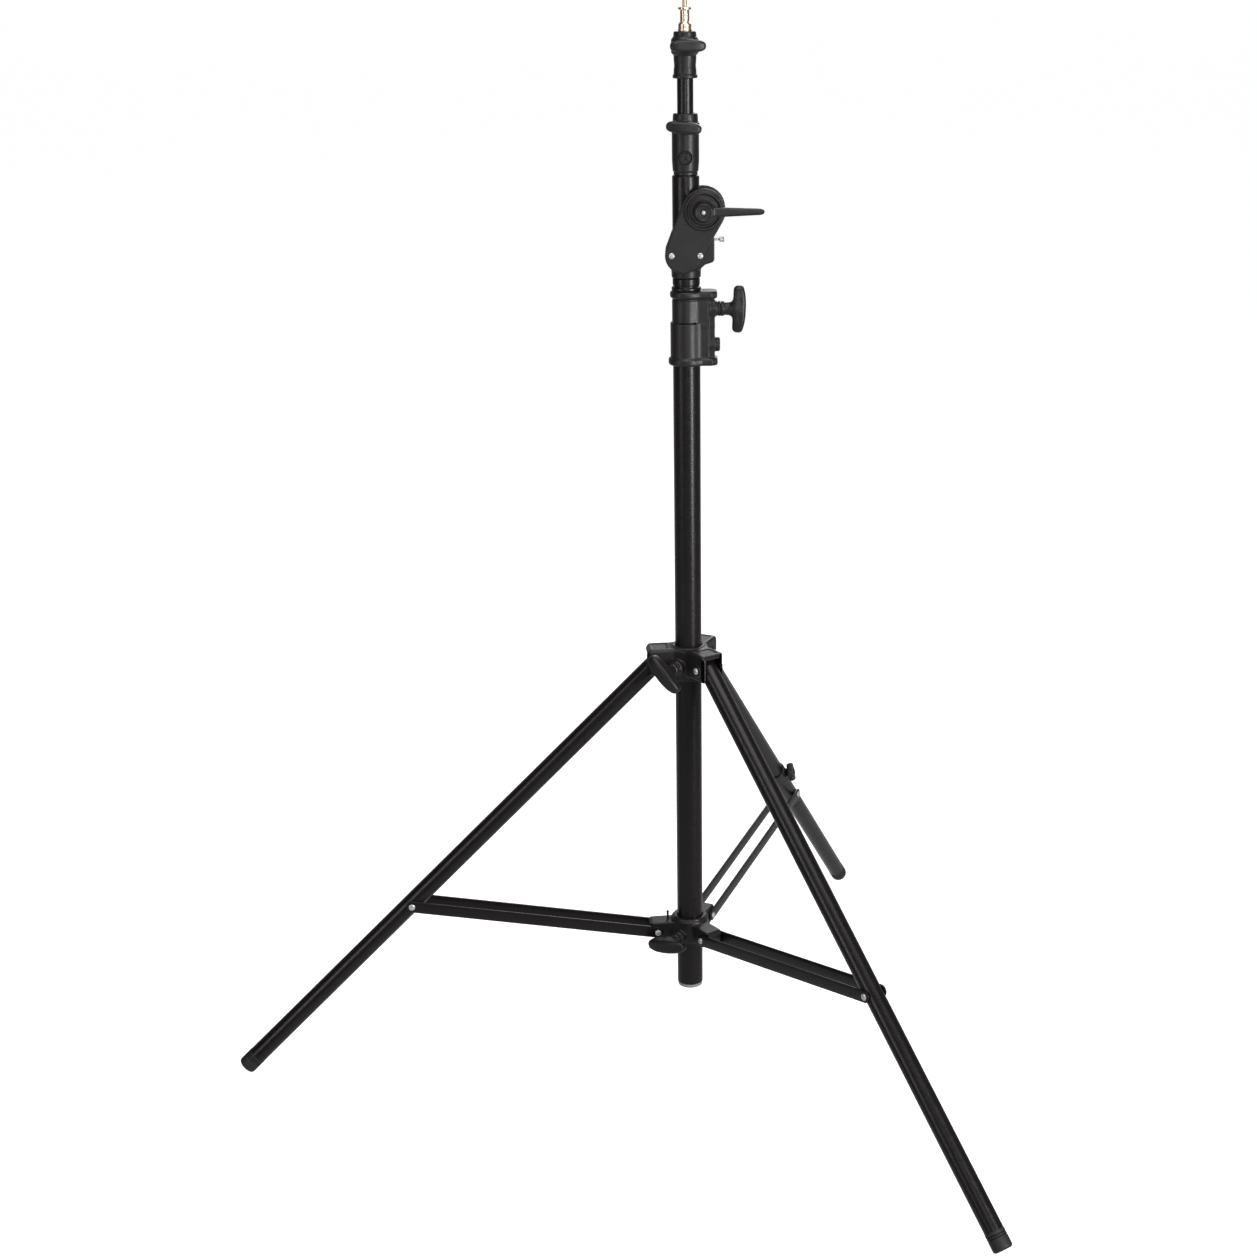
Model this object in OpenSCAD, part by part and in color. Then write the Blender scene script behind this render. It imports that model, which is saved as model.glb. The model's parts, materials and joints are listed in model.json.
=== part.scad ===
// Combination light stand with a tilting boom head.
// Three tubular legs on a sliding collar, paired flat braces on a second collar,
// a clamped telescopic riser, a pivoting sleeve with a telescopic tip and a brass stud.
// Millimetres, +Z up. The column's axis is the Z axis and the floor is z = 0.
// The levelling leg points along +Y; the other two lie at 210 and 330 degrees.

/* [Column] */
// Outer radius of the column tube
col_r = 17.5; // [17:0.1:18]
// Wall of the column tube
col_wall = 1.5; // [1.2:0.1:1.6]
// Height of the column's lower end above the datum
col_z0 = 100; // [98:1:104]
// Height of the column's upper end above the datum
col_z1 = 1026; // [1015:1:1026]

/* [Legs] */
// Length of a leg from its pivot to the end of its foot
leg_len = 815; // [800:1:820]
// Angle of an open leg from the vertical
leg_angle = 45.5; // [43:0.5:46]
// Outer radius of a leg tube
leg_r = 12.5; // [12:0.1:12.6]
// Distance of the leg pivots from the column's axis
leg_pivot_r = 43; // [43:0.5:45]
// Distance down the leg from its pivot to the brace bolt
brace_at = 477; // [470:1:484]

/* [Braces] */
// Height of a brace bar
bar_h = 16; // [14:0.5:18]
// Thickness of a brace bar
bar_t = 2.5; // [2:0.1:3]
// Distance of the brace pivots on the lower collar from the axis
brace_pivot_r = 46; // [45:0.5:48]
// Height of the brace pivots on the lower collar above the floor
brace_pivot_z = 187.6; // [186:0.2:190]

/* [Head] */
// Turn of the clamp knob and the boom head round the column, from +X
head_pan = 23.65; // [0:0.05:60]
// Sideways offset of the tilt pivot from the column's axis
tilt_x = 22; // [22:0.5:24]
// Height of the tilt pivot above the datum
tilt_z = 1168; // [1166:1:1170]
// Height of the tip socket's clamping screw above the datum
tip_z = 1366; // [1362:1:1368]

/* [Knobs] */
// Length of the large T-knobs
knob_len = 61; // [50:1:64]
// Length of the small T-knobs
small_knob_len = 45; // [38:1:46]

/* [Hidden] */
$fn = 64;

gap = 0.3;
// the datum of the column, riser and head lies this far above the floor
lift = 5.6;
foot_r = 12.8;
foot_f = 4;
leg_pivot_z = (leg_len - foot_f) * cos(leg_angle) + (foot_r - foot_f) * sin(leg_angle) + foot_f;
az_rear = 90; az_left = 210; az_right = 330; az_knob = 262; az_low_knob = 260;
qr = leg_pivot_r + brace_at * sin(leg_angle);
qz = leg_pivot_z - brace_at * cos(leg_angle);
brace_len = sqrt(pow(qr - brace_pivot_r, 2) + pow(qz - brace_pivot_z, 2));
brace_slope = atan2(qz - brace_pivot_z, qr - brace_pivot_r);
col_ri = col_r - col_wall;
riser_r = 15; riser_ri = 13.4; riser_z0 = 160; riser_z1 = 1097;
boom_r = 12.5; boom_ri = 10.7;
tip_r = 10; tip_ri = 8.6;
bar_y = leg_r + gap;
black = [0.07, 0.07, 0.075];
cast = [0.13, 0.13, 0.135];
plastic = [0.05, 0.05, 0.055];
steel = [0.75, 0.75, 0.76];

// ---------- shared shapes ----------
module ring(ro, ri, z0, z1) {
  translate([0, 0, z0]) difference() {
    cylinder(r = ro, h = z1 - z0);
    translate([0, 0, -1]) cylinder(r = ri, h = z1 - z0 + 2);
  }
}
module disc(r, z0, z1) translate([0, 0, z0]) cylinder(r = r, h = z1 - z0);
module taper(r0, r1, z0, z1) translate([0, 0, z0]) cylinder(r1 = r0, r2 = r1, h = z1 - z0);
// solid round bar along +X from x0 to x1
module xrod(r, x0, x1) translate([x0, 0, 0]) rotate([0, 90, 0]) cylinder(r = r, h = x1 - x0);
// solid round bar along Y from y0 to y1
module yrod(r, y0, y1) translate([0, y0, 0]) rotate([-90, 0, 0]) cylinder(r = r, h = y1 - y0);
// T-knob on an axis along +X: hub from x0, bar centred at xc, turned by roll
module tknob(len, r, hub_r, x0, xc, roll) {
  xrod(hub_r, x0, xc);
  xrod(hub_r + 1.2, x0, x0 + 4);
  translate([xc, 0, 0]) rotate([roll, 0, 0]) {
    translate([0, 0, -(len / 2 - r)]) cylinder(r = r, h = len - 2 * r);
    for (s = [-1, 1]) translate([0, 0, s * (len / 2 - r)]) sphere(r = r);
  }
}
// flat outline made of a large and a small circle joined by their outer tangents
module link_outline(x0, z0, r0, x1, z1, r1) {
  d = sqrt(pow(x1 - x0, 2) + pow(z1 - z0, 2));
  base = atan2(z1 - z0, x1 - x0);
  a = acos((r0 - r1) / d);
  translate([x0, z0]) circle(r = r0);
  translate([x1, z1]) circle(r = r1);
  polygon([
    [x0 + r0 * cos(base + a), z0 + r0 * sin(base + a)],
    [x1 + r1 * cos(base + a), z1 + r1 * sin(base + a)],
    [x1 + r1 * cos(base - a), z1 + r1 * sin(base - a)],
    [x0 + r0 * cos(base - a), z0 + r0 * sin(base - a)]]);
}
// extrudes an X,Z outline along Y from y0 to y1
module along_y(y0, y1) translate([0, y1, 0]) rotate([90, 0, 0]) linear_extrude(height = y1 - y0) children();
// leg frame: origin at the pivot, -Z down the open leg, +X on its upper side
module leg_frame(az) rotate([0, 0, az]) translate([leg_pivot_r, 0, leg_pivot_z]) rotate([0, -leg_angle, 0]) children();
module raised() translate([0, 0, lift]) children();
module head() raised() rotate([0, 0, head_pan]) children();

// ---------- column ----------
module column_tube() color(black) raised() ring(col_r, col_ri, col_z0, col_z1);
module column_end_plug() color(steel) raised() {
  disc(16.9, col_z0 - 5, col_z0);
  disc(col_ri, col_z0, col_z0 + 16);
}
// plan of the clamp housing: round on the tube, with a tapered lug towards +X
module clamp_plan(r, lx, lw) {
  circle(r = r);
  polygon([[0, -lw], [lx - 7, -lw], [lx, -lw + 5], [lx, lw - 5], [lx - 7, lw], [0, lw]]);
}
// plan of the housing between the flanges: the lug steps in behind its ridge
module clamp_body_plan(r, lx, lw) {
  circle(r = r);
  polygon([[0, -lw], [lx - 8.5, -lw], [lx - 7.5, -lw + 1], [lx - 7.5, -8], [lx, -8], [lx, 8], [lx - 7.5, 8], [lx - 7.5, lw - 1],
    [lx - 8.5, lw], [0, lw]]);
}
module clamp_housing() color(cast) head() difference() {
  union() {
    translate([0, 0, 974]) linear_extrude(height = 8) clamp_plan(23.2, 39.5, 16);
    translate([0, 0, 972]) linear_extrude(height = 2) clamp_plan(21.8, 38, 14.8);
    translate([0, 0, 982]) linear_extrude(height = 3) clamp_plan(21.6, 37.5, 14.8);
    translate([0, 0, 985]) linear_extrude(height = 42) clamp_body_plan(20.5, 36, 13.5);
    translate([0, 0, 1027]) linear_extrude(height = 31) clamp_body_plan(18.2, 36, 13.5);
    translate([0, 0, 1057]) linear_extrude(height = 2) clamp_plan(19.4, 37.5, 14.6);
    translate([0, 0, 1059]) linear_extrude(height = 6) clamp_plan(20.6, 39, 15.8);
    translate([0, 0, 1065]) linear_extrude(height = 2) clamp_plan(19.4, 37.6, 14.4);
    translate([0, 0, 1043.5]) { xrod(9.6, 24, 39); xrod(8.8, 39, 41); xrod(9.6, 41, 43); }
    translate([0, 0, 998]) xrod(9.2, 24, 38);
  }
  disc(col_r, 960, col_z1);
  disc(riser_r + gap, col_z1 - 1, 1080);
  translate([0, 0, 1043.5]) xrod(4.3, 5, 50);
  translate([0, 0, 998]) xrod(4, 18.5, 50);
  // slit that lets the upper half of the housing close on the riser
  translate([-9, -25, 1026.2]) cube([21.5, 25, 0.9]);
}
module clamp_bolt() color(plastic) head() translate([0, 0, 998]) {
  xrod(4, 18.5, 38);
  difference() { union() { xrod(9, 38, 41.2); xrod(7.6, 41.2, 42.6); } translate([39.5, 0, 0]) rotate([0, 90, 0]) cylinder(r = 3.6, h = 6, $fn = 6); }
}
module clamp_knob() color(plastic) head() translate([0, 0, 1043.5]) tknob(knob_len, 8.6, 8.5, 43.4, 67.5, 4);
module clamp_screw() color(steel) head() translate([0, 0, 1043.5]) xrod(4, riser_r + gap + 0.2, 43.4);

// ---------- riser ----------
module riser_tube() color(black) raised() ring(riser_r, riser_ri, riser_z0, riser_z1);
module riser_glide() color(plastic) raised() ring(col_ri - gap, riser_r, riser_z0, riser_z0 + 24);
module riser_ferrule() color(black) raised() {
  ring(18.7, riser_r, 1067.3, 1071.6);
  ring(17.3, riser_r, 1071.6, 1083);
}

// ---------- boom head ----------
module head_casting() color(cast) head() difference() {
  union() {
    disc(18.6, 1083.4, 1092);
    taper(18.6, 20, 1092, 1101);
    along_y(-17.6, 17.6) union() {
      polygon([[-18, 1096], [18, 1096], [24, 1101], [33.5, 1104], [35.5, 1107], [35.5, 1134], [18.5, 1134],
        [18.5, 1128], [-21, 1128], [-24, 1120], [-24, 1108]]);
    }
  }
  disc(riser_r + gap, 1070, riser_z1 + gap);
  translate([0, 0, 1130.5]) xrod(1.9, 16, 40);
  for (x = [-18, 17.8]) translate([x, 0, 1113]) yrod(2.5, -20, 20);
  // seats that the two link plates lie against
  for (y = [-30, 17.6]) along_y(y, y + 12.4) link_outline(tilt_x, tilt_z, 27.7, -4, 1113, 22.7);
}
module link_plate(y0, y1, rim) {
  along_y(y0, y1) difference() {
    link_outline(tilt_x, tilt_z, 27.5, -4, 1113, 22.5);
    translate([tilt_x, tilt_z]) circle(r = 5.05);
    for (x = [-18, 17.8]) translate([x, 1113]) circle(r = 2.6);
  }
  translate([tilt_x, 0, tilt_z]) difference() {
    yrod(24, rim[0], rim[1]);
    yrod(20.5, rim[0] - 1, rim[1] + 1);
  }
}
module link_plate_front() color(cast) head() link_plate(-22.6, -17.6, [-24.6, -22.6]);
module link_plate_back() color(cast) head() link_plate(17.6, 22.6, [22.6, 24.6]);
module head_screws() color(steel) head() for (x = [-18, 17.8]) translate([x, 0, 1113]) {
  yrod(2.4, -22.6, 22.6);
  difference() { yrod(3.9, -24.6, -22.6); translate([-5, -25, -0.5]) cube([10, 1.2, 1]); translate([-0.5, -25, -5]) cube([1, 1.2, 10]); }
  yrod(3.9, 22.6, 24.6);
}
module lock_pin() color(steel) head() translate([0, 0, 1130.5]) {
  xrod(1.6, 19.2, 42);
  xrod(3.3, 42, 48);
}
module boom_sleeve() color(black) head() difference() {
  union() {
    disc(17, 1131, 1210);
    along_y(-16.9, 16.9) union() {
      translate([tilt_x, tilt_z]) circle(r = 18);
      polygon([[0, tilt_z - 20], [tilt_x, tilt_z - 18], [tilt_x, tilt_z + 18], [0, tilt_z + 22]]);
    }
  }
  disc(boom_r + gap, 1100, 1220);
  translate([tilt_x, 0, tilt_z]) yrod(5.05, -30, 30);
}
module pivot_bolt() color(steel) head() translate([tilt_x, 0, tilt_z]) {
  yrod(5, -26, 26);
  translate([0, 26, 0]) rotate([-90, 0, 0]) cylinder(r = 9, h = 6, $fn = 6);
}
module ratchet_handle() color(plastic) head() translate([tilt_x, 0, tilt_z]) difference() {
  union() {
    yrod(13.4, -30, -26.3);
    yrod(12.4, -41, -30);
    yrod(10.6, -42.5, -41);
    along_y(-40, -31) polygon([[6, -6.4], [20, -5.9], [70, -3.9], [74, -2.6], [75.5, 0], [74, 2.6], [70, 3.9], [20, 5.9], [6, 6.4]]);
  }
  yrod(4.5, -50, -40);
}
module ratchet_cap() color(steel) head() translate([tilt_x, 0, tilt_z]) difference() {
  union() { yrod(4.3, -41.5, -40); yrod(1.8, -43, -41.5); }
}

// ---------- boom ----------
module boom_tube() color(black) head() ring(boom_r, boom_ri, 1133, 1266.5);
module boom_collar() color(cast) head() difference() {
  union() {
    disc(15, 1210.4, 1215);
    taper(15.9, 16.9, 1215, 1228);
    disc(16.9, 1228, 1263);
    disc(17.4, 1263, 1274);
    taper(15.9, 15.2, 1274, 1285);
    translate([0, 0, 1270]) rotate([0, 0, -93]) xrod(6.4, 10, 24);
  }
  disc(boom_r, 1200, 1266.5);
  disc(tip_r + gap, 1260, 1290);
  translate([0, 0, 1270]) rotate([0, 0, -93]) xrod(3.3, 0, 30);
  translate([0, 0, 1232]) rotate([0, 0, -92]) { xrod(8.6, 15.2, 20); xrod(4, 10, 20); }
}
module collar_screw() color(plastic) head() translate([0, 0, 1232]) rotate([0, 0, -92]) difference() {
  union() { xrod(4, 12.5, 15.2); xrod(6.4, 15.2, 17.2); }
  translate([14.5, 0, 0]) rotate([0, 90, 0]) cylinder(r = 2.6, h = 4, $fn = 6);
}
module boom_knob() color(plastic) head() translate([0, 0, 1270]) rotate([0, 0, -93]) tknob(small_knob_len, 7.2, 6.2, 24.3, 37, 84);
module boom_knob_screw() color(steel) head() translate([0, 0, 1270]) rotate([0, 0, -93]) xrod(3, tip_r + gap + 0.2, 24.3);

// ---------- tip ----------
module tip_tube() color(black) head() ring(tip_r, tip_ri, 1174, 1343);
module tip_glide() color(plastic) head() ring(boom_ri - gap, tip_r, 1174, 1190);
module tip_socket() color(cast) head() difference() {
  union() {
    disc(15.2, 1327, 1330.4);
    disc(13.9, 1330.4, 1337);
    disc(13.3, 1337, 1347);
    disc(13.9, 1347, 1354);
    taper(14.6, 17, 1354, 1357);
    disc(17, 1357, 1373);
    taper(17, 15, 1373, 1375.5);
    taper(14.2, 13.7, 1375.5, 1382.4);
    translate([0, 0, tip_z]) rotate([0, 0, -84]) xrod(6.4, 10, 24);
  }
  disc(tip_r, 1320, 1343);
  disc(8.1, 1345.5, 1390);
  translate([0, 0, tip_z]) rotate([0, 0, -84]) xrod(3.3, 0, 30);
}
module tip_knob() color(plastic) head() translate([0, 0, tip_z]) rotate([0, 0, -84]) tknob(small_knob_len, 7.2, 6.2, 24.3, 37, 90);
module tip_knob_screw() color(steel) head() translate([0, 0, tip_z]) rotate([0, 0, -84]) xrod(3, 8.5, 24.3);
module brass_stud() color([0.83, 0.66, 0.36]) head() {
  disc(7.8, 1347, 1355);
  disc(6.2, 1355, 1376);
  disc(7.8, 1376, 1382.7);
  disc(8.6, 1382.7, 1385);
  disc(8, 1385, 1391);
  taper(8, 5.6, 1391, 1393.4);
  disc(5.6, 1393.4, 1407);
  taper(5.6, 8, 1407, 1408);
  disc(8, 1408, 1410.5);
  disc(3.175, 1410.5, 1420.3);
  taper(3.175, 2.6, 1420.3, 1421);
}

// ---------- leg collar ----------
cp = leg_pivot_z;
ear_hw = 18.4;
ear_top = 21.5;
// side view of a leg ear: flat top with a rounded outer corner
module ear_side(x1, z0, z1, rc) {
  square_h = z1 - z0;
  translate([10, z0]) square([x1 - rc - 10, square_h]);
  translate([10, z0]) square([x1 - 10, square_h - rc]);
  translate([x1 - rc, z1 - rc]) circle(r = rc);
}
module ear_plan(len, hw, rc) {
  translate([0, -hw]) square([len - rc, 2 * hw]);
  translate([0, -hw + rc]) square([len, 2 * (hw - rc)]);
  for (s = [-1, 1]) translate([len - rc, s * (hw - rc)]) circle(r = rc);
}
module leg_collar() color(cast) difference() {
  union() {
    disc(26, cp - 22, cp + 20.4);
    for (a = [az_rear, az_left, az_right]) rotate([0, 0, a]) {
      intersection() {
        along_y(-ear_hw, ear_hw) ear_side(57.6, cp - 15, cp + ear_top, 8);
        translate([0, 0, cp - 20]) linear_extrude(height = 60) ear_plan(57.6, ear_hw, 5);
      }
      translate([leg_pivot_r, 0, cp]) yrod(8, -19.4, 19.4);
    }
    rotate([0, 0, az_knob]) translate([0, 0, cp - 2]) { xrod(10.5, 15, 34); xrod(9.4, 34, 38); }
  }
  disc(col_r + gap, cp - 50, cp + 50);
  for (a = [az_rear, az_left, az_right]) rotate([0, 0, a]) {
    translate([26, -leg_r - gap, cp - 45]) cube([50, 2 * (leg_r + gap), 45 + 16.2]);
    translate([leg_pivot_r, 0, cp]) yrod(3.05, -30, 30);
  }
  rotate([0, 0, az_knob]) translate([0, 0, cp - 2]) xrod(4.3, 0, 60);
}
module through_bolt(r, half, head_r, head_h) {
  yrod(r, -half, half);
  yrod(head_r, half, half + head_h * 0.55);
  yrod(head_r * 0.72, half + head_h * 0.55, half + head_h);
  yrod(head_r, -half - head_h * 0.55, -half);
  yrod(head_r * 0.72, -half - head_h, -half - head_h * 0.55);
}
module leg_pivot_bolts() color(steel) for (a = [az_rear, az_left, az_right]) rotate([0, 0, a])
  translate([leg_pivot_r, 0, cp]) through_bolt(3, 19.4, 4.4, 2.4);
module leg_collar_knob() color(plastic) rotate([0, 0, az_knob]) translate([0, 0, cp - 2]) tknob(knob_len, 8.6, 8.5, 38.4, 62, 45);
module leg_collar_screw() color(steel) rotate([0, 0, az_knob]) translate([0, 0, cp - 2]) xrod(4, col_r + 0.3, 38.4);

// ---------- legs ----------
module leg_tube(az, z_end) color(black) leg_frame(az) difference() {
  ring(leg_r, leg_r - 1.5, -z_end, 6);
  yrod(3.3, -20, 20);
}
module leg_plug(az) color(plastic) leg_frame(az) { disc(leg_r, 6, 8.4); disc(leg_r - 1.5, 4, 6); }
// rounded cap profile, revolved: a cup on the tube's end
function cap_arc(n) = [for (i = [0 : n]) let (t = -90 + 90 * i / n) [foot_r - foot_f + foot_f * cos(t), -leg_len + foot_f + foot_f * sin(t)]];
module foot(az) color(plastic) leg_frame(az) rotate_extrude() polygon(concat([[0, -leg_len]], cap_arc(6),
  [[foot_r, -leg_len + 24], [leg_r, -leg_len + 24], [leg_r, -leg_len + 6], [leg_r - 1.5, -leg_len + 6], [leg_r - 1.5, -leg_len + 16], [0, -leg_len + 16]]));
rear_end = 503;
level_a = 408;
module level_side() leg_frame(az_rear) translate([0, 0, -level_a]) rotate([0, 0, -70]) children();
module level_clamp() color(cast) level_side() difference() {
  union() {
    disc(14.4, -16, -14.5); disc(14.8, -14.5, 14.5); disc(14.4, 14.5, 16);
    xrod(6.4, 8, 15.4);
  }
  disc(leg_r, -20, 20);
  xrod(3.3, 0, 30);
}
// six-lobed knob on an axis along +X: stem from x0, lobed disc from x1 to x2
module star_knob(hub_r, x0, x1, x2, r) {
  xrod(hub_r, x0, x2);
  translate([x1, 0, 0]) rotate([0, 90, 0]) linear_extrude(height = x2 - x1) union() {
    circle(r = r - 2.6);
    for (a = [0 : 60 : 300]) rotate([0, 0, a]) translate([r - 4.4, 0]) circle(r = 4.4);
  }
}
module level_knob() color(plastic) level_side() star_knob(5, 15.7, 17.2, 25.2, 15);
module level_knob_screw() color(steel) level_side() xrod(3, leg_r + 0.2, 15.7);
module level_tube() color(black) leg_frame(az_rear) ring(leg_r, leg_r - 1.5, -leg_len + 6, -rear_end - 1);
module level_liner() color(black) leg_frame(az_rear) ring(leg_r - 1.8, leg_r - 3.2, -650, -330);

// ---------- brace collar ----------
bp = brace_pivot_z;
module brace_collar() color(cast) difference() {
  union() {
    disc(25.5, bp - 16, bp + 20);
    for (a = [az_rear, az_left, az_right]) rotate([0, 0, a]) along_y(-leg_r + 0.1, leg_r - 0.1) union() {
      polygon([[10, bp - 14], [brace_pivot_r - 2, bp - 12], [brace_pivot_r + 8, bp - 8], [brace_pivot_r + 11.5, bp + 2],
        [brace_pivot_r + 11.5, bp + 9.5], [brace_pivot_r + 8, bp + 13], [10, bp + 13.5]]);
    }
    rotate([0, 0, az_low_knob]) translate([0, 0, bp - 6]) { xrod(10.2, 15, 32); xrod(9.2, 32, 35); }
  }
  disc(col_r + gap, bp - 50, bp + 50);
  for (a = [az_rear, az_left, az_right]) rotate([0, 0, a]) translate([brace_pivot_r, 0, bp]) yrod(3, -30, 30);
  rotate([0, 0, az_low_knob]) translate([0, 0, bp - 6]) xrod(4.3, 0, 60);
  rotate([0, 0, az_left]) translate([31, 0, bp + 5]) cylinder(r = 1.5, h = 20);
}
module brace_pivot_bolts() color(steel) for (a = [az_rear, az_left, az_right]) rotate([0, 0, a])
  translate([brace_pivot_r, 0, bp]) through_bolt(3, bar_y + bar_t + gap, 4.2, 2.4);
module catch_pin() color(plastic) rotate([0, 0, az_left]) translate([31, 0, bp + 5]) { cylinder(r = 1.5, h = 18); translate([0, 0, 18]) cylinder(r1 = 1.9, r2 = 1.2, h = 3); }
module brace_collar_knob() color(plastic) rotate([0, 0, az_low_knob]) translate([0, 0, bp - 6]) tknob(knob_len, 8.6, 8.5, 35.4, 58, 100);
module brace_collar_screw() color(steel) rotate([0, 0, az_low_knob]) translate([0, 0, bp - 6]) xrod(4, col_r + 0.3, 35.4);

// ---------- braces ----------
module brace_frame(az) rotate([0, 0, az]) translate([brace_pivot_r, 0, bp]) rotate([0, -brace_slope, 0]) children();
module bar_outline() difference() {
  union() {
    translate([0, -bar_h / 2]) square([brace_len, bar_h]);
    circle(r = bar_h / 2);
    translate([brace_len, 0]) circle(r = bar_h / 2);
  }
  circle(r = 3.2);
  translate([brace_len, 0]) circle(r = 3);
}
module brace_bars(az) color(black) brace_frame(az) {
  along_y(bar_y, bar_y + bar_t) bar_outline();
  along_y(-bar_y - bar_t, -bar_y) bar_outline();
}
module brace_bolts(az) color(steel) brace_frame(az) translate([brace_len, 0, 0]) for (s = [0, 180]) rotate([0, 0, s]) {
  yrod(3, bar_y, bar_y + bar_t);
  yrod(4.4, bar_y + bar_t, bar_y + bar_t + 1.4);
  yrod(3.2, bar_y + bar_t + 1.4, bar_y + bar_t + 2.4);
}

column_tube();
column_end_plug();
clamp_housing();
clamp_bolt();
clamp_knob();
clamp_screw();
riser_tube();
riser_ferrule();
riser_glide();
head_casting();
link_plate_front();
link_plate_back();
head_screws();
lock_pin();
boom_sleeve();
pivot_bolt();
ratchet_handle();
ratchet_cap();
boom_tube();
boom_collar();
collar_screw();
boom_knob();
boom_knob_screw();
tip_tube();
tip_glide();
tip_socket();
tip_knob();
tip_knob_screw();
brass_stud();
leg_collar();
leg_pivot_bolts();
leg_collar_knob();
leg_collar_screw();
leg_tube(az_left, leg_len - 6);  // left_leg_tube
leg_plug(az_left);  // left_leg_plug
foot(az_left);  // left_foot
leg_tube(az_right, leg_len - 6);  // right_leg_tube
leg_plug(az_right);  // right_leg_plug
foot(az_right);  // right_foot
leg_tube(az_rear, rear_end);  // rear_leg_tube
leg_plug(az_rear);  // rear_leg_plug
level_clamp();
level_knob();
level_knob_screw();
level_tube();
level_liner();
foot(az_rear);  // level_foot
brace_collar();
brace_pivot_bolts();
catch_pin();
brace_collar_knob();
brace_collar_screw();
brace_bars(az_left);  // left_brace_bars
brace_bolts(az_left);  // left_brace_bolts
brace_bars(az_right);  // right_brace_bars
brace_bolts(az_right);  // right_brace_bolts
brace_bars(az_rear);  // rear_brace_bars
brace_bolts(az_rear);  // rear_brace_bolts
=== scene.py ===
import json
import math

import bpy
import numpy as np
from mathutils import Matrix, Vector

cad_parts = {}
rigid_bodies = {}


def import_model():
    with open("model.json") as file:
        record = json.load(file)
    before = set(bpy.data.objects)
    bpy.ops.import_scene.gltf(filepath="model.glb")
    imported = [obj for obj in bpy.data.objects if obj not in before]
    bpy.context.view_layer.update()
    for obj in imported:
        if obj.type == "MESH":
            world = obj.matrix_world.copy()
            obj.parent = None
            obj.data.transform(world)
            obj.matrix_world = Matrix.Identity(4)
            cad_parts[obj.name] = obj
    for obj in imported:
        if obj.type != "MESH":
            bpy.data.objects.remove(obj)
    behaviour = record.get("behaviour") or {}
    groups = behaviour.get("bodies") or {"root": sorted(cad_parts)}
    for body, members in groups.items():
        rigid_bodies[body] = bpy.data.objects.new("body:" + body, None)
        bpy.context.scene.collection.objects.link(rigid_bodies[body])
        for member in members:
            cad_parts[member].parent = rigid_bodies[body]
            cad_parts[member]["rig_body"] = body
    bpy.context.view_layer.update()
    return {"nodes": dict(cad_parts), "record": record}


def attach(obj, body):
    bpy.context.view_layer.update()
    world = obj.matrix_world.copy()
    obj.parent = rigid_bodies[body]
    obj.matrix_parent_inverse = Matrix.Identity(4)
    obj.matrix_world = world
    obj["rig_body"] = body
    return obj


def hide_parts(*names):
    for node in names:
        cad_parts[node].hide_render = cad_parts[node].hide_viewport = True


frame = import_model()

# ---------------------------------------------------------------- dimensions, mm
LIFT, PAN = 5.6, 23.65
COL_R, COL_RI, COL_Z0, COL_Z1 = 17.5, 16.0, 100.0, 1026.0
LEG_LEN, LEG_ANGLE, LEG_R, LEG_PIVOT_R, BRACE_AT = 815.0, 45.5, 12.5, 43.0, 477.0
BAR_H, BAR_T, BAR_Y = 16.0, 2.5, 12.8
BP_R, BP = 46.0, 187.6
TILT_X, TILT_Z, TIP_Z = 22.0, 1168.0, 1366.0
FOOT_R, FOOT_F = 12.8, 4.0
GAP = 0.3
LA = math.radians(LEG_ANGLE)
CP = (LEG_LEN - FOOT_F) * math.cos(LA) + (FOOT_R - FOOT_F) * math.sin(LA) + FOOT_F
QR = LEG_PIVOT_R + BRACE_AT * math.sin(LA)
QZ = CP - BRACE_AT * math.cos(LA)
BRACE_LEN = math.hypot(QR - BP_R, QZ - BP)
SLOPE = math.atan2(QZ - BP, QR - BP_R)
AZ = {"rear": 90.0, "left": 210.0, "right": 330.0}
MM = 0.001


# ---------------------------------------------------------------- frames (4x4, mm)
def tr(x, y, z):
    m = np.eye(4)
    m[:3, 3] = (x, y, z)
    return m


def rot(axis, degrees):
    return np.array(Matrix.Rotation(math.radians(degrees), 4, axis))


RAISED = tr(0, 0, LIFT)
HEAD = RAISED @ rot("Z", PAN)
WORLD = np.eye(4)


def leg_frame(az):
    return rot("Z", az) @ tr(LEG_PIVOT_R, 0, CP) @ rot("Y", -LEG_ANGLE)


def brace_frame(az):
    return rot("Z", az) @ tr(BP_R, 0, BP) @ rot("Y", -math.degrees(SLOPE))


LEVEL = leg_frame(90) @ tr(0, 0, -408) @ rot("Z", -70)


# ---------------------------------------------------------------- camera
def camera():
    yaw, pitch, roll = -0.0300, 0.3089, 0.0149
    fwd = np.array([math.sin(yaw) * math.cos(pitch), math.cos(yaw) * math.cos(pitch), -math.sin(pitch)])
    right = np.array([math.cos(yaw), -math.sin(yaw), 0.0])
    down = np.cross(fwd, right)
    r2 = math.cos(roll) * right + math.sin(roll) * down
    d2 = -math.sin(roll) * right + math.cos(roll) * down
    turn = rot("Z", PAN)[:3, :3]
    m = np.eye(4)
    m[:3, 0], m[:3, 1], m[:3, 2] = turn @ r2, turn @ -d2, turn @ -fwd
    m[:3, 3] = turn @ np.array([0.0, -2.64977, 1.46408]) + np.array([0, 0, LIFT * MM])
    data = bpy.data.cameras.new("camera")
    data.sensor_width = 36.0
    data.lens = 2089.51 / 1257.0 * 36.0
    data.clip_start, data.clip_end = 0.05, 300.0
    cam = bpy.data.objects.new("camera", data)
    bpy.context.scene.collection.objects.link(cam)
    cam.matrix_world = Matrix(m.tolist())
    bpy.context.scene.camera = cam
    return cam


cam = camera()


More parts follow.
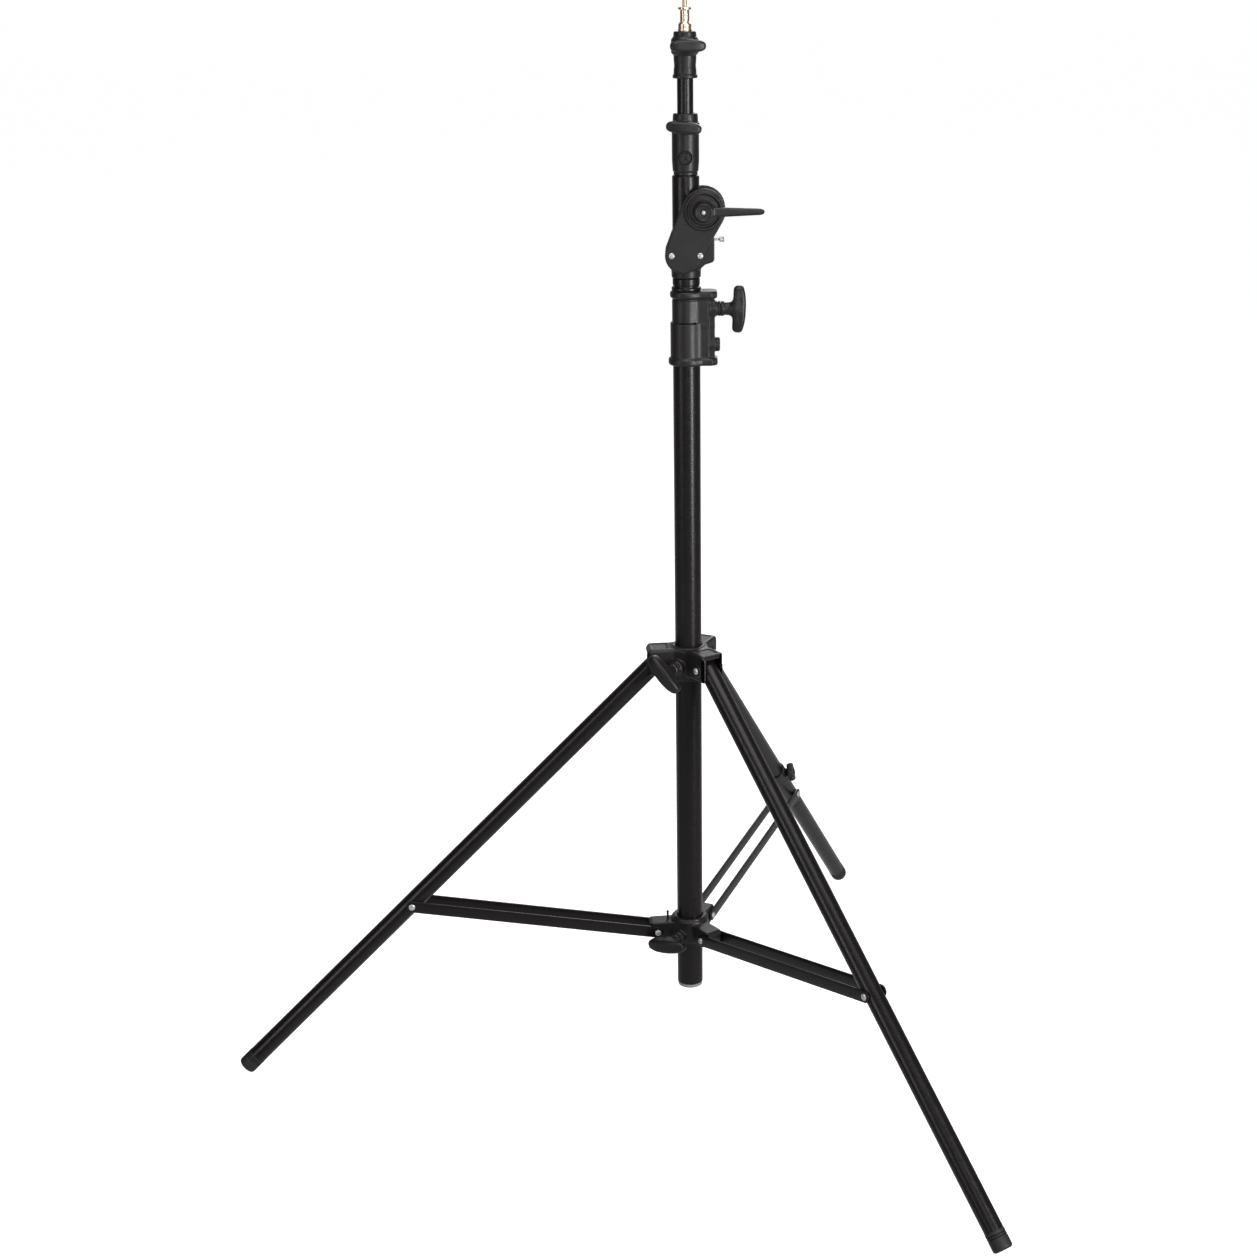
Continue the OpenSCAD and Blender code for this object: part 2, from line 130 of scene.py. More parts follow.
# ---------------------------------------------------------------- materials
def new_material(name):
    m = bpy.data.materials.new(name)
    m.use_nodes = True
    nt = m.node_tree
    nt.nodes.clear()
    out = nt.nodes.new("ShaderNodeOutputMaterial")
    b = nt.nodes.new("ShaderNodeBsdfPrincipled")
    nt.links.new(b.outputs["BSDF"], out.inputs["Surface"])
    co = nt.nodes.new("ShaderNodeTexCoord")
    return m, nt, b, co.outputs["Object"]


def noise(nt, co, scale, detail=3.0, rough=0.5, stretch=None, distort=0.0):
    if stretch is not None:
        mp = nt.nodes.new("ShaderNodeMapping")
        mp.inputs["Scale"].default_value = stretch
        nt.links.new(co, mp.inputs["Vector"])
        co = mp.outputs["Vector"]
    n = nt.nodes.new("ShaderNodeTexNoise")
    n.inputs["Scale"].default_value = scale
    n.inputs["Detail"].default_value = detail
    n.inputs["Roughness"].default_value = rough
    n.inputs["Distortion"].default_value = distort
    nt.links.new(co, n.inputs["Vector"])
    return n.outputs["Fac"]


def ramp(nt, fac, stops):
    r = nt.nodes.new("ShaderNodeValToRGB")
    while len(r.color_ramp.elements) < len(stops):
        r.color_ramp.elements.new(0.5)
    for e, (at, c) in zip(r.color_ramp.elements, stops):
        e.position = at
        e.color = (*c, 1.0) if hasattr(c, "__len__") else (c, c, c, 1.0)
    nt.links.new(fac, r.inputs["Fac"])
    return r.outputs["Color"]


def span(nt, fac, a, b, lo=0.3, hi=0.7):
    r = nt.nodes.new("ShaderNodeMapRange")
    r.inputs["From Min"].default_value, r.inputs["From Max"].default_value = lo, hi
    r.inputs["To Min"].default_value, r.inputs["To Max"].default_value = a, b
    nt.links.new(fac, r.inputs["Value"])
    return r.outputs["Result"]


def bump(nt, b, heights):
    normal = None
    for h, strength, distance in heights:
        n = nt.nodes.new("ShaderNodeBump")
        n.inputs["Strength"].default_value = strength
        n.inputs["Distance"].default_value = distance
        nt.links.new(h, n.inputs["Height"])
        if normal is not None:
            nt.links.new(normal, n.inputs["Normal"])
        normal = n.outputs["Normal"]
    nt.links.new(normal, b.inputs["Normal"])


def mat_tube():
    m, nt, b, co = new_material("satin_black")
    broad = noise(nt, co, 9.0, 4.0, 0.6)
    fine = noise(nt, co, 900.0, 2.0, 0.6)
    mid = noise(nt, co, 160.0, 3.0, 0.55)
    nt.links.new(ramp(nt, broad, [(0.25, (0.0075, 0.0056, 0.0060)), (0.75, (0.0112, 0.0086, 0.0092))]), b.inputs["Base Color"])
    nt.links.new(span(nt, mid, 0.25, 0.34), b.inputs["Roughness"])
    b.inputs["IOR"].default_value = 1.5
    b.inputs["Specular IOR Level"].default_value = 0.42
    bump(nt, b, [(mid, 0.05, 0.0003), (fine, 0.08, 0.00006)])
    return m


def mat_cast():
    m, nt, b, co = new_material("cast_grey")
    broad = noise(nt, co, 40.0, 4.0, 0.6)
    grain = noise(nt, co, 1300.0, 2.0, 0.7)
    pit = noise(nt, co, 420.0, 3.0, 0.6)
    nt.links.new(ramp(nt, broad, [(0.3, (0.0115, 0.0096, 0.0104)), (0.7, (0.0170, 0.0145, 0.0155))]), b.inputs["Base Color"])
    nt.links.new(span(nt, pit, 0.34, 0.46), b.inputs["Roughness"])
    b.inputs["IOR"].default_value = 1.5
    b.inputs["Specular IOR Level"].default_value = 0.50
    bump(nt, b, [(pit, 0.22, 0.0004), (grain, 0.22, 0.0001)])
    return m


def mat_plastic():
    m, nt, b, co = new_material("moulded_black")
    broad = noise(nt, co, 60.0, 3.0, 0.5)
    grain = noise(nt, co, 1500.0, 2.0, 0.6)
    vor = nt.nodes.new("ShaderNodeTexVoronoi")
    vor.inputs["Scale"].default_value = 1400.0
    nt.links.new(co, vor.inputs["Vector"])
    nt.links.new(ramp(nt, broad, [(0.3, (0.0100, 0.0088, 0.0093)), (0.7, (0.0138, 0.0122, 0.0129))]), b.inputs["Base Color"])
    nt.links.new(span(nt, grain, 0.35, 0.45), b.inputs["Roughness"])
    b.inputs["IOR"].default_value = 1.5
    bump(nt, b, [(vor.outputs["Distance"], 0.20, 0.00010), (grain, 0.10, 0.00006)])
    return m


def mat_zinc():
    m, nt, b, co = new_material("zinc_steel")
    brushed = noise(nt, co, 500.0, 3.0, 0.6)
    cloud = noise(nt, co, 120.0, 3.0, 0.6)
    nt.links.new(ramp(nt, cloud, [(0.3, (0.62, 0.62, 0.63)), (0.7, (0.78, 0.78, 0.79))]), b.inputs["Base Color"])
    b.inputs["Metallic"].default_value = 0.55
    nt.links.new(span(nt, brushed, 0.20, 0.34), b.inputs["Roughness"])
    bump(nt, b, [(brushed, 0.08, 0.00006)])
    return m


def mat_rim():
    m, nt, b, co = new_material("bare_rim")
    turned = noise(nt, co, 60.0, 2.0, 0.5, stretch=(1.0, 1.0, 30.0))
    nt.links.new(ramp(nt, turned, [(0.3, (0.40, 0.40, 0.41)), (0.7, (0.52, 0.52, 0.52))]), b.inputs["Base Color"])
    b.inputs["Metallic"].default_value = 0.45
    nt.links.new(span(nt, turned, 0.24, 0.36), b.inputs["Roughness"])
    bump(nt, b, [(turned, 0.12, 0.00006)])
    return m


def mat_brass():
    m, nt, b, co = new_material("pale_brass")
    turned = noise(nt, co, 30.0, 2.0, 0.5, stretch=(1.0, 1.0, 70.0))
    cloud = noise(nt, co, 150.0, 4.0, 0.6)
    nt.links.new(ramp(nt, cloud, [(0.3, (0.80, 0.68, 0.50)), (0.7, (0.88, 0.78, 0.62))]), b.inputs["Base Color"])
    b.inputs["Metallic"].default_value = 1.0
    nt.links.new(span(nt, turned, 0.26, 0.36), b.inputs["Roughness"])
    bump(nt, b, [(turned, 0.08, 0.00004)])
    return m


def mat_rubber():
    m, nt, b, co = new_material("foot_rubber")
    broad = noise(nt, co, 70.0, 4.0, 0.6)
    grain = noise(nt, co, 1100.0, 3.0, 0.7)
    nt.links.new(ramp(nt, broad, [(0.3, (0.014, 0.014, 0.0145)), (0.7, (0.022, 0.0215, 0.022))]), b.inputs["Base Color"])
    nt.links.new(span(nt, grain, 0.50, 0.66), b.inputs["Roughness"])
    bump(nt, b, [(grain, 0.25, 0.00012)])
    return m


def mat_glide():
    m, nt, b, co = new_material("glide_plastic")
    broad = noise(nt, co, 90.0, 3.0, 0.5)
    nt.links.new(ramp(nt, broad, [(0.3, (0.66, 0.66, 0.64)), (0.7, (0.76, 0.76, 0.74))]), b.inputs["Base Color"])
    nt.links.new(span(nt, broad, 0.36, 0.48), b.inputs["Roughness"])
    bump(nt, b, [(broad, 0.05, 0.0001)])
    return m


MATS = {
    "black_tube": mat_tube(), "grey_casting": mat_cast(), "black_plastic": mat_plastic(),
    "zinc_steel": mat_zinc(), "end_rim": mat_rim(), "brass": mat_brass(),
    "foot_rubber": mat_rubber(), "glide_plastic": mat_glide(),
}


# ---------------------------------------------------------------- piece bookkeeping
NODE_BODY = {o.name: o["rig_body"] for o in frame["nodes"].values()}
NODE_SLOT = {}
for _m in frame["record"].get("materials", []):
    for _n in _m.get("nodes", []):
        NODE_SLOT[_n] = _m["slot"]


def place(name, verts, faces, matrix, node, slot, extra=(), sharp=None):
    """A mesh in a local frame (mm) becomes a piece that stands for a CAD node and rides on its body."""
    v = np.asarray(verts, float)
    w = (v @ matrix[:3, :3].T + matrix[:3, 3]) * MM
    me = bpy.data.meshes.new(name)
    me.from_pydata([tuple(p) for p in w], [], [tuple(int(i) for i in f) for f in faces])
    me.validate()
    for p in me.polygons:
        p.use_smooth = True
    if sharp is not None:
        me.set_sharp_from_angle(angle=math.radians(sharp))
    me.update()
    ob = bpy.data.objects.new(name, me)
    bpy.context.scene.collection.objects.link(ob)
    me.materials.append(MATS[slot])
    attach(ob, NODE_BODY[node])
    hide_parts(node, *extra)
    return ob


def merge(parts):
    """Joins (verts, faces) lists into one."""
    verts, faces, n = [], [], 0
    for v, f in parts:
        v = np.asarray(v, float)
        verts.append(v)
        faces += [tuple(int(i) + n for i in q) for q in f]
        n += len(v)
    return np.concatenate(verts), faces


def moved(part, matrix):
    v, f = part
    v = np.asarray(v, float)
    return v @ matrix[:3, :3].T + matrix[:3, 3], f


# ---------------------------------------------------------------- revolved shapes
def fillet(points, radii, closed=True, steps=4, support=0.06):
    """Rounds the corners of a polyline. radii is one number or one per point."""
    pts = [np.array(p, float) for p in points]
    n = len(pts)
    if not hasattr(radii, "__len__"):
        radii = [radii] * n
    out = []
    for i in range(n):
        p = pts[i]
        if not closed and i in (0, n - 1):
            out.append(p)
            continue
        a, c = pts[i - 1], pts[(i + 1) % n]
        u, w = a - p, c - p
        lu, lw = np.linalg.norm(u), np.linalg.norm(w)
        u, w = u / lu, w / lw
        cosang = float(np.clip(u @ w, -1, 1))
        half = math.acos(cosang) / 2
        if radii[i] <= 0 or half > math.radians(88):
            out.append(p)
            continue
        t = min(radii[i] / math.tan(half), 0.47 * lu, 0.47 * lw)
        r = t * math.tan(half)
        bis = (u + w) / np.linalg.norm(u + w)
        centre = p + bis * (r / math.sin(half))
        s, e = p + u * t - centre, p + w * t - centre
        if support and 0.5 * lu > t + support:
            out.append(p + u * (t + support))
        k = max(2, int(round(steps * (math.pi - 2 * half) / (math.pi / 2))))
        a0 = math.atan2(s[1], s[0])
        d = math.atan2(s[0] * e[1] - s[1] * e[0], s @ e)
        for j in range(k + 1):
            q = a0 + d * j / k
            out.append(centre + r * np.array([math.cos(q), math.sin(q)]))
        if support and 0.5 * lw > t + support:
            out.append(p + w * (t + support))
    return out


def revolve(profile, segs=96, closed=False, shape=None):
    """Turns an r,z profile round Z. closed: the profile is a loop, as for a tube. Otherwise it runs from axis to axis.
    shape(theta, r, z) may give each point its own radius."""
    prof = [(float(r), float(z)) for r, z in profile]
    th = np.arange(segs) * 2 * math.pi / segs
    verts, rows = [], []
    for r, z in prof:
        if r < 1e-6 and not closed:
            rows.append([len(verts)])
            verts.append((0.0, 0.0, z))
        else:
            rr = np.full(segs, r) if shape is None else shape(th, r, z)
            rows.append(list(range(len(verts), len(verts) + segs)))
            verts += [(rr[k] * math.cos(th[k]), rr[k] * math.sin(th[k]), z) for k in range(segs)]
    faces = []
    pairs = list(zip(range(len(rows) - 1), range(1, len(rows))))
    if closed:
        pairs.append((len(rows) - 1, 0))
    for i, j in pairs:
        a, b = rows[i], rows[j]
        if len(a) == 1 and len(b) == 1:
            continue
        for k in range(segs):
            k2 = (k + 1) % segs
            if len(a) == 1:
                faces.append((a[0], b[k2], b[k]))
            elif len(b) == 1:
                faces.append((a[k], a[k2], b[0]))
            else:
                faces.append((a[k], a[k2], b[k2], b[k]))
    return outward(np.array(verts), faces)


def outward(v, faces):
    """Turns every face round if the closed mesh's volume is negative."""
    vol = 0.0
    for f in faces:
        a = v[f[0]]
        for i in range(1, len(f) - 1):
            vol += float(np.dot(a, np.cross(v[f[i]], v[f[i + 1]])))
    if vol < 0:
        faces = [tuple(reversed(f)) for f in faces]
    return v, faces


def tube(ro, ri, z0, z1, r=0.35, segs=96, rings=()):
    """A tube with softened ends; rings is not used."""
    prof = fillet([(ro, z0), (ro, z1), (ri, z1), (ri, z0)], r, steps=3)
    return revolve(prof, segs, closed=True)


def solid(points, radii=0.4, segs=96, shape=None, steps=4):
    """A turned solid: points run from the axis to the axis."""
    return revolve(fillet(points, radii, closed=False, steps=steps), segs, shape=shape)


TO_X = rot("Y", 90)      # local Z becomes +X
TO_Y = rot("X", -90)     # local Z becomes +Y


def hex_radius(across, theta):
    """Radius of a hexagon that is across wide over its corners."""
    t = (theta + math.pi / 6) % (math.pi / 3) - math.pi / 6
    return across / 2 * math.cos(math.pi / 6) / np.cos(t)


def hex_head(corner, h, chamfer=0.18, segs=72, cap=True):
    """A hexagon bolt head from z 0 to h, with its corners turned off at both faces."""
    flat = corner * math.cos(math.pi / 6)
    rings = []
    for z, lim in [(0.0, flat + 0.15 * (corner - flat)), (0.08 * h, corner), (h - chamfer * h * 1.6, corner), (h - 0.35 * chamfer * h, flat * 0.985), (h, flat * 0.90)]:
        rings.append((z, lim))
    prof = [(0.0, 0.0)] + [(lim, z) for z, lim in rings] + [(flat * 0.5, h), (0.0, h)]

    def shape(th, r, z):
        return np.minimum(hex_radius(2 * corner, th), r)
    return revolve(prof, segs, shape=shape)


# ---------------------------------------------------------------- solids from distance fields
def smin(a, b, k):
    h = np.maximum(k - np.abs(a - b), 0.0) / k
    return np.minimum(a, b) - h * h * k * 0.25


def smax(a, b, k):
    return -smin(-a, -b, k)


def union(k, *ds):
    d = ds[0]
    for e in ds[1:]:
        d = smin(d, e, k)
    return d


def circle2(x, y, r):
    return np.sqrt(x * x + y * y) - r


def box2(x, y, hx, hy, r=0.0):
    qx, qy = np.abs(x) - hx + r, np.abs(y) - hy + r
    return np.sqrt(np.maximum(qx, 0) ** 2 + np.maximum(qy, 0) ** 2) + np.minimum(np.maximum(qx, qy), 0) - r


def poly2(x, y, pts):
    """Exact distance to a polygon, negative inside."""
    x, y = np.broadcast_arrays(x, y)
    d = np.full(x.shape, 1e9)
    s = np.ones(x.shape)
    n = len(pts)
    for i in range(n):
        ax, ay = pts[i]
        bx, by = pts[i - 1]
        ex, ey = bx - ax, by - ay
        wx, wy = x - ax, y - ay
        t = np.clip((wx * ex + wy * ey) / (ex * ex + ey * ey + 1e-12), 0, 1)
        qx, qy = wx - ex * t, wy - ey * t
        d = np.minimum(d, qx * qx + qy * qy)
        c1, c2, c3 = y >= ay, y < by, ex * wy > ey * wx
        flip = (c1 & c2 & c3) | (~c1 & ~c2 & ~c3)
        s = np.where(flip, -s, s)
    return s * np.sqrt(d)


def extrude(d2, t, t0, t1, r):
    """A plan distance d2 carried from t0 to t1, with its edges rounded to r."""
    wx, wy = d2 + r, np.abs(t - (t0 + t1) / 2) - (t1 - t0) / 2 + r
    return np.minimum(np.maximum(wx, wy), 0) + np.sqrt(np.maximum(wx, 0) ** 2 + np.maximum(wy, 0) ** 2) - r


def rod(u, v, t, r, t0, t1, edge=0.5):
    return extrude(np.sqrt(u * u + v * v) - r, t, t0, t1, edge)


def capsule2(x, y, x0, y0, r0, x1, y1, r1):
    """Distance to the outline of two circles joined by their outer tangents."""
    ux, uy = x1 - x0, y1 - y0
    L = math.hypot(ux, uy)
    ux, uy = ux / L, uy / L
    px, py = x - x0, y - y0
    along, side = px * ux + py * uy, np.abs(-px * uy + py * ux)
    b = (r0 - r1) / L
    a = math.sqrt(1 - b * b)
    k = along * a - side * b
    kk = -side * b + along * a
    d = side * a + along * b - r0
    d = np.where(kk < 0, np.sqrt(along ** 2 + side ** 2) - r0, d)
    d = np.where(k > a * L, np.sqrt((along - L) ** 2 + side ** 2) - r1, d)
    return d


def mesh_of(f, low, high, h, steps=4):
    """Surface nets over f(x, y, z) < 0, then every point drawn onto the surface."""
    low, high = np.array(low, float), np.array(high, float)
    h = np.array(h if hasattr(h, "__len__") else (h, h, h), float)
    n = np.ceil((high - low) / h).astype(int) + 1
    ax = [low[i] + h[i] * np.arange(n[i]) for i in range(3)]
    X, Y, Z = ax[0][:, None, None], ax[1][None, :, None], ax[2][None, None, :]
    V = np.empty(tuple(n), np.float32)
    chunk = max(1, int(4e5 / (n[1] * n[2])))
    for i in range(0, n[0], chunk):
        V[i:i + chunk] = np.broadcast_to(f(X[i:i + chunk], Y, Z), (len(ax[0][i:i + chunk]), n[1], n[2]))
    inside = V < 0
    c = tuple(n - 1)
    cnt = np.zeros(c, np.float32)
    acc = np.zeros(c + (3,), np.float32)
    S = [slice(0, -1), slice(1, None)]
    for axis in range(3):
        for p in (0, 1):
            for q in (0, 1):
                o = [0, 0, 0]
                others = [k for k in range(3) if k != axis]
                o[others[0]], o[others[1]] = p, q
                a_ix, b_ix = list(o), list(o)
                b_ix[axis] = 1
                A = V[S[a_ix[0]], S[a_ix[1]], S[a_ix[2]]]
                B = V[S[b_ix[0]], S[b_ix[1]], S[b_ix[2]]]
                cross = (A < 0) != (B < 0)
                den = np.where(cross, A - B, 1.0)
                t = np.where(cross, A / den, 0.0)
                cnt += cross
                for k in range(3):
                    acc[..., k] += np.where(cross, (t if k == axis else o[k]), 0.0)
    active = cnt > 0
    ids = np.full(c, -1, np.int64)
    ids[active] = np.arange(int(active.sum()))
    ijk = np.argwhere(active)
    pts = low + (ijk + acc[active] / cnt[active][:, None]) * h
    faces = []
    for axis in range(3):
        o1, o2 = [k for k in range(3) if k != axis]
        sl0, sl1 = [slice(None)] * 3, [slice(None)] * 3
        sl0[axis], sl1[axis] = slice(0, -1), slice(1, None)
        e = inside[tuple(sl0)] != inside[tuple(sl1)]
        first = inside[tuple(sl0)]
        keep = [slice(None)] * 3
        keep[o1], keep[o2] = slice(1, n[o1] - 1), slice(1, n[o2] - 1)
        where = np.argwhere(e[tuple(keep)])
        where[:, o1] += 1
        where[:, o2] += 1
        fin = first[tuple(where.T)]
        corner = []
        for d1, d2 in ((-1, -1), (0, -1), (0, 0), (-1, 0)):
            w = where.copy()
            w[:, o1] += d1
            w[:, o2] += d2
            corner.append(ids[tuple(w.T)])
        q = np.stack(corner, 1)
        flip = fin if axis != 1 else ~fin
        q[~flip] = q[~flip][:, ::-1]
        faces.append(q)
    faces = np.concatenate(faces)
    reach = float(h.max())
    start = pts.copy()
    for _ in range(steps):
        d = f(pts[:, 0], pts[:, 1], pts[:, 2])
        e = 0.02
        g = np.stack([(f(pts[:, 0] + e, pts[:, 1], pts[:, 2]) - d) / e,
                      (f(pts[:, 0], pts[:, 1] + e, pts[:, 2]) - d) / e,
                      (f(pts[:, 0], pts[:, 1], pts[:, 2] + e) - d) / e], 1)
        g2 = np.maximum((g * g).sum(1), 0.05)
        step = -(d / g2)[:, None] * g
        ln = np.linalg.norm(step, axis=1)
        step *= np.minimum(1.0, 0.5 * reach / np.maximum(ln, 1e-9))[:, None]
        pts = pts + step
        off = pts - start
        lo = np.linalg.norm(off, axis=1)
        pts = start + off * np.minimum(1.0, 0.9 * reach / np.maximum(lo, 1e-9))[:, None]
    return pts, faces


# ---------------------------------------------------------------- shared parts
def knob_field(length, wide, hub_r, x0, xc, r, lobes=0):
    """T-knob on +X: a flared stem and a bowed wing along Z that is thickest in its middle."""
    xi, xo = xc - r, xc + r
    half = length / 2
    bow = 4.6 * (length / 61.0)
    chord = 0.92 * half
    big = (chord * chord + bow * bow) / (2 * bow)

    def f(x, y, z):
        d = box2(x - (xi + xo) / 2, z, r, half, 0.78 * r)
        d = smax(d, np.sqrt((x - (xo - big)) ** 2 + z * z) - big, 3.0)
        # seen from its end the wing is a blunt oval
        a, b, n = wide, half + 1.5, 2.5
        ya, zb = np.abs(y / a) + 1e-6, np.abs(z / b) + 1e-6
        total = ya ** n + zb ** n
        slope = total ** (1 / n - 1) * np.sqrt((ya ** (n - 1) / a) ** 2 + (zb ** (n - 1) / b) ** 2)
        wing = smax(d, (total ** (1 / n) - 1) / slope, 5.0)
        # a shallow hollow in both broad faces
        hollow = np.sqrt(((x - (xi + xo) / 2) / (0.42 * r)) ** 2 + (z / (0.62 * half)) ** 2)
        wing = wing + 0.55 * np.maximum(0, 1 - hollow * hollow)
        if lobes:
            wing = wing + 0.8 * np.cos(z * math.pi * lobes / half) * np.clip((x - xi) / r, 0, 1)
        rho = np.sqrt(y * y + z * z)
        stem = extrude(rho - (hub_r - 0.4), x, x0, xc, 0.8)
        foot = extrude(rho - (hub_r + 0.9), x, x0, x0 + 4.2, 1.0)
        stem = smin(stem, foot, 1.6)
        return smin(wing, stem, 7.0 * r / 8.6)
    return f


def knob_mesh(length, wide, hub_r, x0, xc, r, h, lobes=0):
    f = knob_field(length, wide, hub_r, x0, xc, r, lobes)
    m = max(hub_r + 2.4, wide + 1.2)
    return mesh_of(f, (x0 - 1.5, -m - 0.3, -length / 2 - 1.5), (xc + r + 1.6, m + 0.3, length / 2 + 1.5), h)


def knob_piece(name, node, part, matrix, z, az, roll, slot="black_plastic"):
    m = matrix @ tr(0, 0, z) @ rot("Z", az)
    # the hub keeps still and only the wing's roll matters
    place(name, *moved(part, rot("X", roll)), m, node, slot)


def threaded(r, z0, z1, pitch, depth, segs=48, tip=0.5, per=6):
    """A screw with a real helical thread, from z0 to z1 with a chamfered end."""
    rows = int((z1 - z0) / pitch * per)
    prof = [(0.0, z0)] + [(r, z0 + (z1 - z0) * k / rows) for k in range(rows + 1)] + [(0.0, z1)]

    def shape(th, rr, z):
        ph = (z / pitch - th / (2 * math.pi)) % 1.0
        v = np.abs(ph * 2 - 1)
        out = rr - depth * (1 - v)
        lim = r - tip * max(0.0, 1 - (z1 - z) / tip) if z1 - z < tip else r
        return np.minimum(out, lim)
    return revolve(prof, segs, shape=shape)


# ================================================================ column
place("v_column_tube", *tube(COL_R, COL_RI, COL_Z0, COL_Z1, 0.45, 128), RAISED, "column_tube", "black_tube")
place("v_column_end_plug", *solid([(0, COL_Z0 - 5), (16.9, COL_Z0 - 5), (16.9, COL_Z0), (COL_RI, COL_Z0), (COL_RI, COL_Z0 + 16), (0, COL_Z0 + 16)],
                                  [0, 0.7, 0.2, 0.2, 0.6, 0], 96), RAISED, "column_end_plug", "end_rim")


def clamp_plan(x, y, r, lx, lw, k=5.0):
    lug = poly2(x, y, [(0, -lw), (lx - 7, -lw), (lx, -lw + 5), (lx, lw - 5), (lx - 7, lw), (0, lw)])
    return smin(circle2(x, y, r), lug, k)


def clamp_body_plan(x, y, r, lx, lw, k=4.0):
    lug = poly2(x, y, [(0, -lw), (lx - 8.5, -lw), (lx - 7.5, -lw + 1), (lx - 7.5, -8), (lx, -8), (lx, 8), (lx - 7.5, 8), (lx - 7.5, lw - 1), (lx - 8.5, lw), (0, lw)])
    return smin(circle2(x, y, r), lug, k)


def clamp_housing(x, y, z):
    low = extrude(clamp_body_plan(x, y, 20.5, 36, 13.5), z, 975, 1026.7, 0.7)
    neck = clamp_body_plan(x, y, 18.2, 36, 13.5)
    up = extrude(neck, z, 1020, 1062, 0.7)
    foot = extrude(clamp_plan(x, y, 23.2, 39.5, 16), z, 972.4, 982.4, 3.6)
    top = extrude(clamp_plan(x, y, 20.7, 39, 15.8), z, 1057.6, 1067, 3.4)
    d = union(1.2, union(0.6, low, up), foot, top)
    d = smax(d, -np.maximum(np.abs(z - 1056.4) - 0.9, -1.0 - neck), 0.5)
    boss = np.minimum(rod(y, z - 1043.5, x, 9.6, 24, 39, 0.8), rod(y, z - 1043.5, x, 8.8, 30, 42, 0.5))
    boss = smin(boss, rod(y, z - 1043.5, x, 9.6, 40.4, 43, 0.8), 0.6)
    d = smin(d, boss, 3.0)
    d = smin(d, rod(y, z - 998, x, 9.2, 24, 38, 1.0), 1.6)
    d = smax(d, -extrude(circle2(x, y, COL_R), z, 940, COL_Z1, 0.2), 0.5)
    d = smax(d, -extrude(circle2(x, y, 15.3), z, 1000, 1100, 0.2), 0.8)
    d = smax(d, -rod(y, z - 1043.5, x, 4.3, 0, 60, 0.2), 0.4)
    d = smax(d, -rod(y, z - 998, x, 4.0, 18.5, 60, 0.2), 0.4)
    slit = np.maximum(np.maximum(np.abs(z - 1026.8) - 0.6, np.abs(x - 1.8) - 10.8), y)
    return smax(d, -slit, 0.3)


place("v_clamp_housing", *mesh_of(clamp_housing, (-25.5, -25.5, 970.2), (45, 25.5, 1069), (0.8, 0.8, 0.52)), HEAD, "clamp_housing", "grey_casting")
bolt = merge([moved(solid([(0, 18.6), (4, 18.6), (4, 38), (0, 38)], 0.3, 48), TO_X),
              moved(revolve(fillet([(0, 38), (9.0, 38), (9.0, 41.4), (7.3, 42.6), (3.9, 42.6), (3.7, 39.6), (0, 39.6)], [0, 0.3, 0.9, 0.4, 0.3, 0.2, 0], closed=False), 72,
                            shape=lambda th, r, z: np.where(r < 3.95, np.minimum(r, hex_radius(2 * r, th)), r)), TO_X)])
place("v_clamp_bolt", *bolt, HEAD @ tr(0, 0, 998), "clamp_bolt", "black_plastic", sharp=40)
BIG = knob_mesh(61, 9.3, 8.5, 43.4, 67.5, 8.6, 0.72)
# the wing sags a little on its screw
knob_piece("v_clamp_knob", "clamp_knob", moved(BIG, tr(43.4, 0, 0) @ rot("Y", 2.4) @ tr(-43.4, 0, 0)), HEAD, 1043.5, 0, 0)

# ================================================================ riser
place("v_riser_tube", *tube(15, 13.4, 160, 1097, 0.4, 112), RAISED, "riser_tube", "black_tube")
place("v_riser_ferrule", *revolve(fillet([(18.7, 1067.4), (18.7, 1071.6), (16.5, 1072.3), (16.5, 1074.0), (17.3, 1075.0), (17.3, 1082.2), (16.6, 1083), (15, 1083), (15, 1067.4)],
                                         [1.4, 1.4, 0.6, 0.6, 0.5, 0.6, 0.3, 0.1, 0.1]), 112, closed=True), RAISED, "riser_ferrule", "black_tube")


# ================================================================ boom head
def head_casting(x, y, z):
    rho = np.sqrt(x * x + y * y)
    neck = poly2(rho, z, fillet([(-10, 1083.5), (18.4, 1083.5), (18.7, 1092), (20.2, 1101), (18, 1108), (-10, 1108)], [0, 1.4, 2, 2, 2, 0], support=0))
    side = poly2(x, z, fillet([(-18, 1096), (18, 1096), (24, 1101), (33.5, 1104), (35.5, 1107), (35.5, 1134), (18.5, 1134), (18.5, 1128), (-21, 1128), (-24, 1120), (-24, 1108)],
                              [3, 3, 5, 4, 1, 2.0, 1.5, 1.0, 1, 1, 1], support=0))
    block = extrude(side, y, -17.5, 17.5, 1.4)
    d = smin(neck, block, 4.0)
    d = smax(d, -extrude(circle2(x, y, 15.3), z, 1060, 1097.3, 0.2), 0.8)
    d = smax(d, -rod(y, z - 1130.5, x, 1.9, 12, 60, 0.2), 0.3)
    for xs in (-18, 17.8):
        d = smax(d, -rod(x - xs, z - 1113, y, 2.5, -30, 30, 0.2), 0.3)
    return d


place("v_head_casting", *mesh_of(head_casting, (-26, -22.5, 1082), (37.5, 22.5, 1136), 0.75), HEAD, "head_casting", "grey_casting")


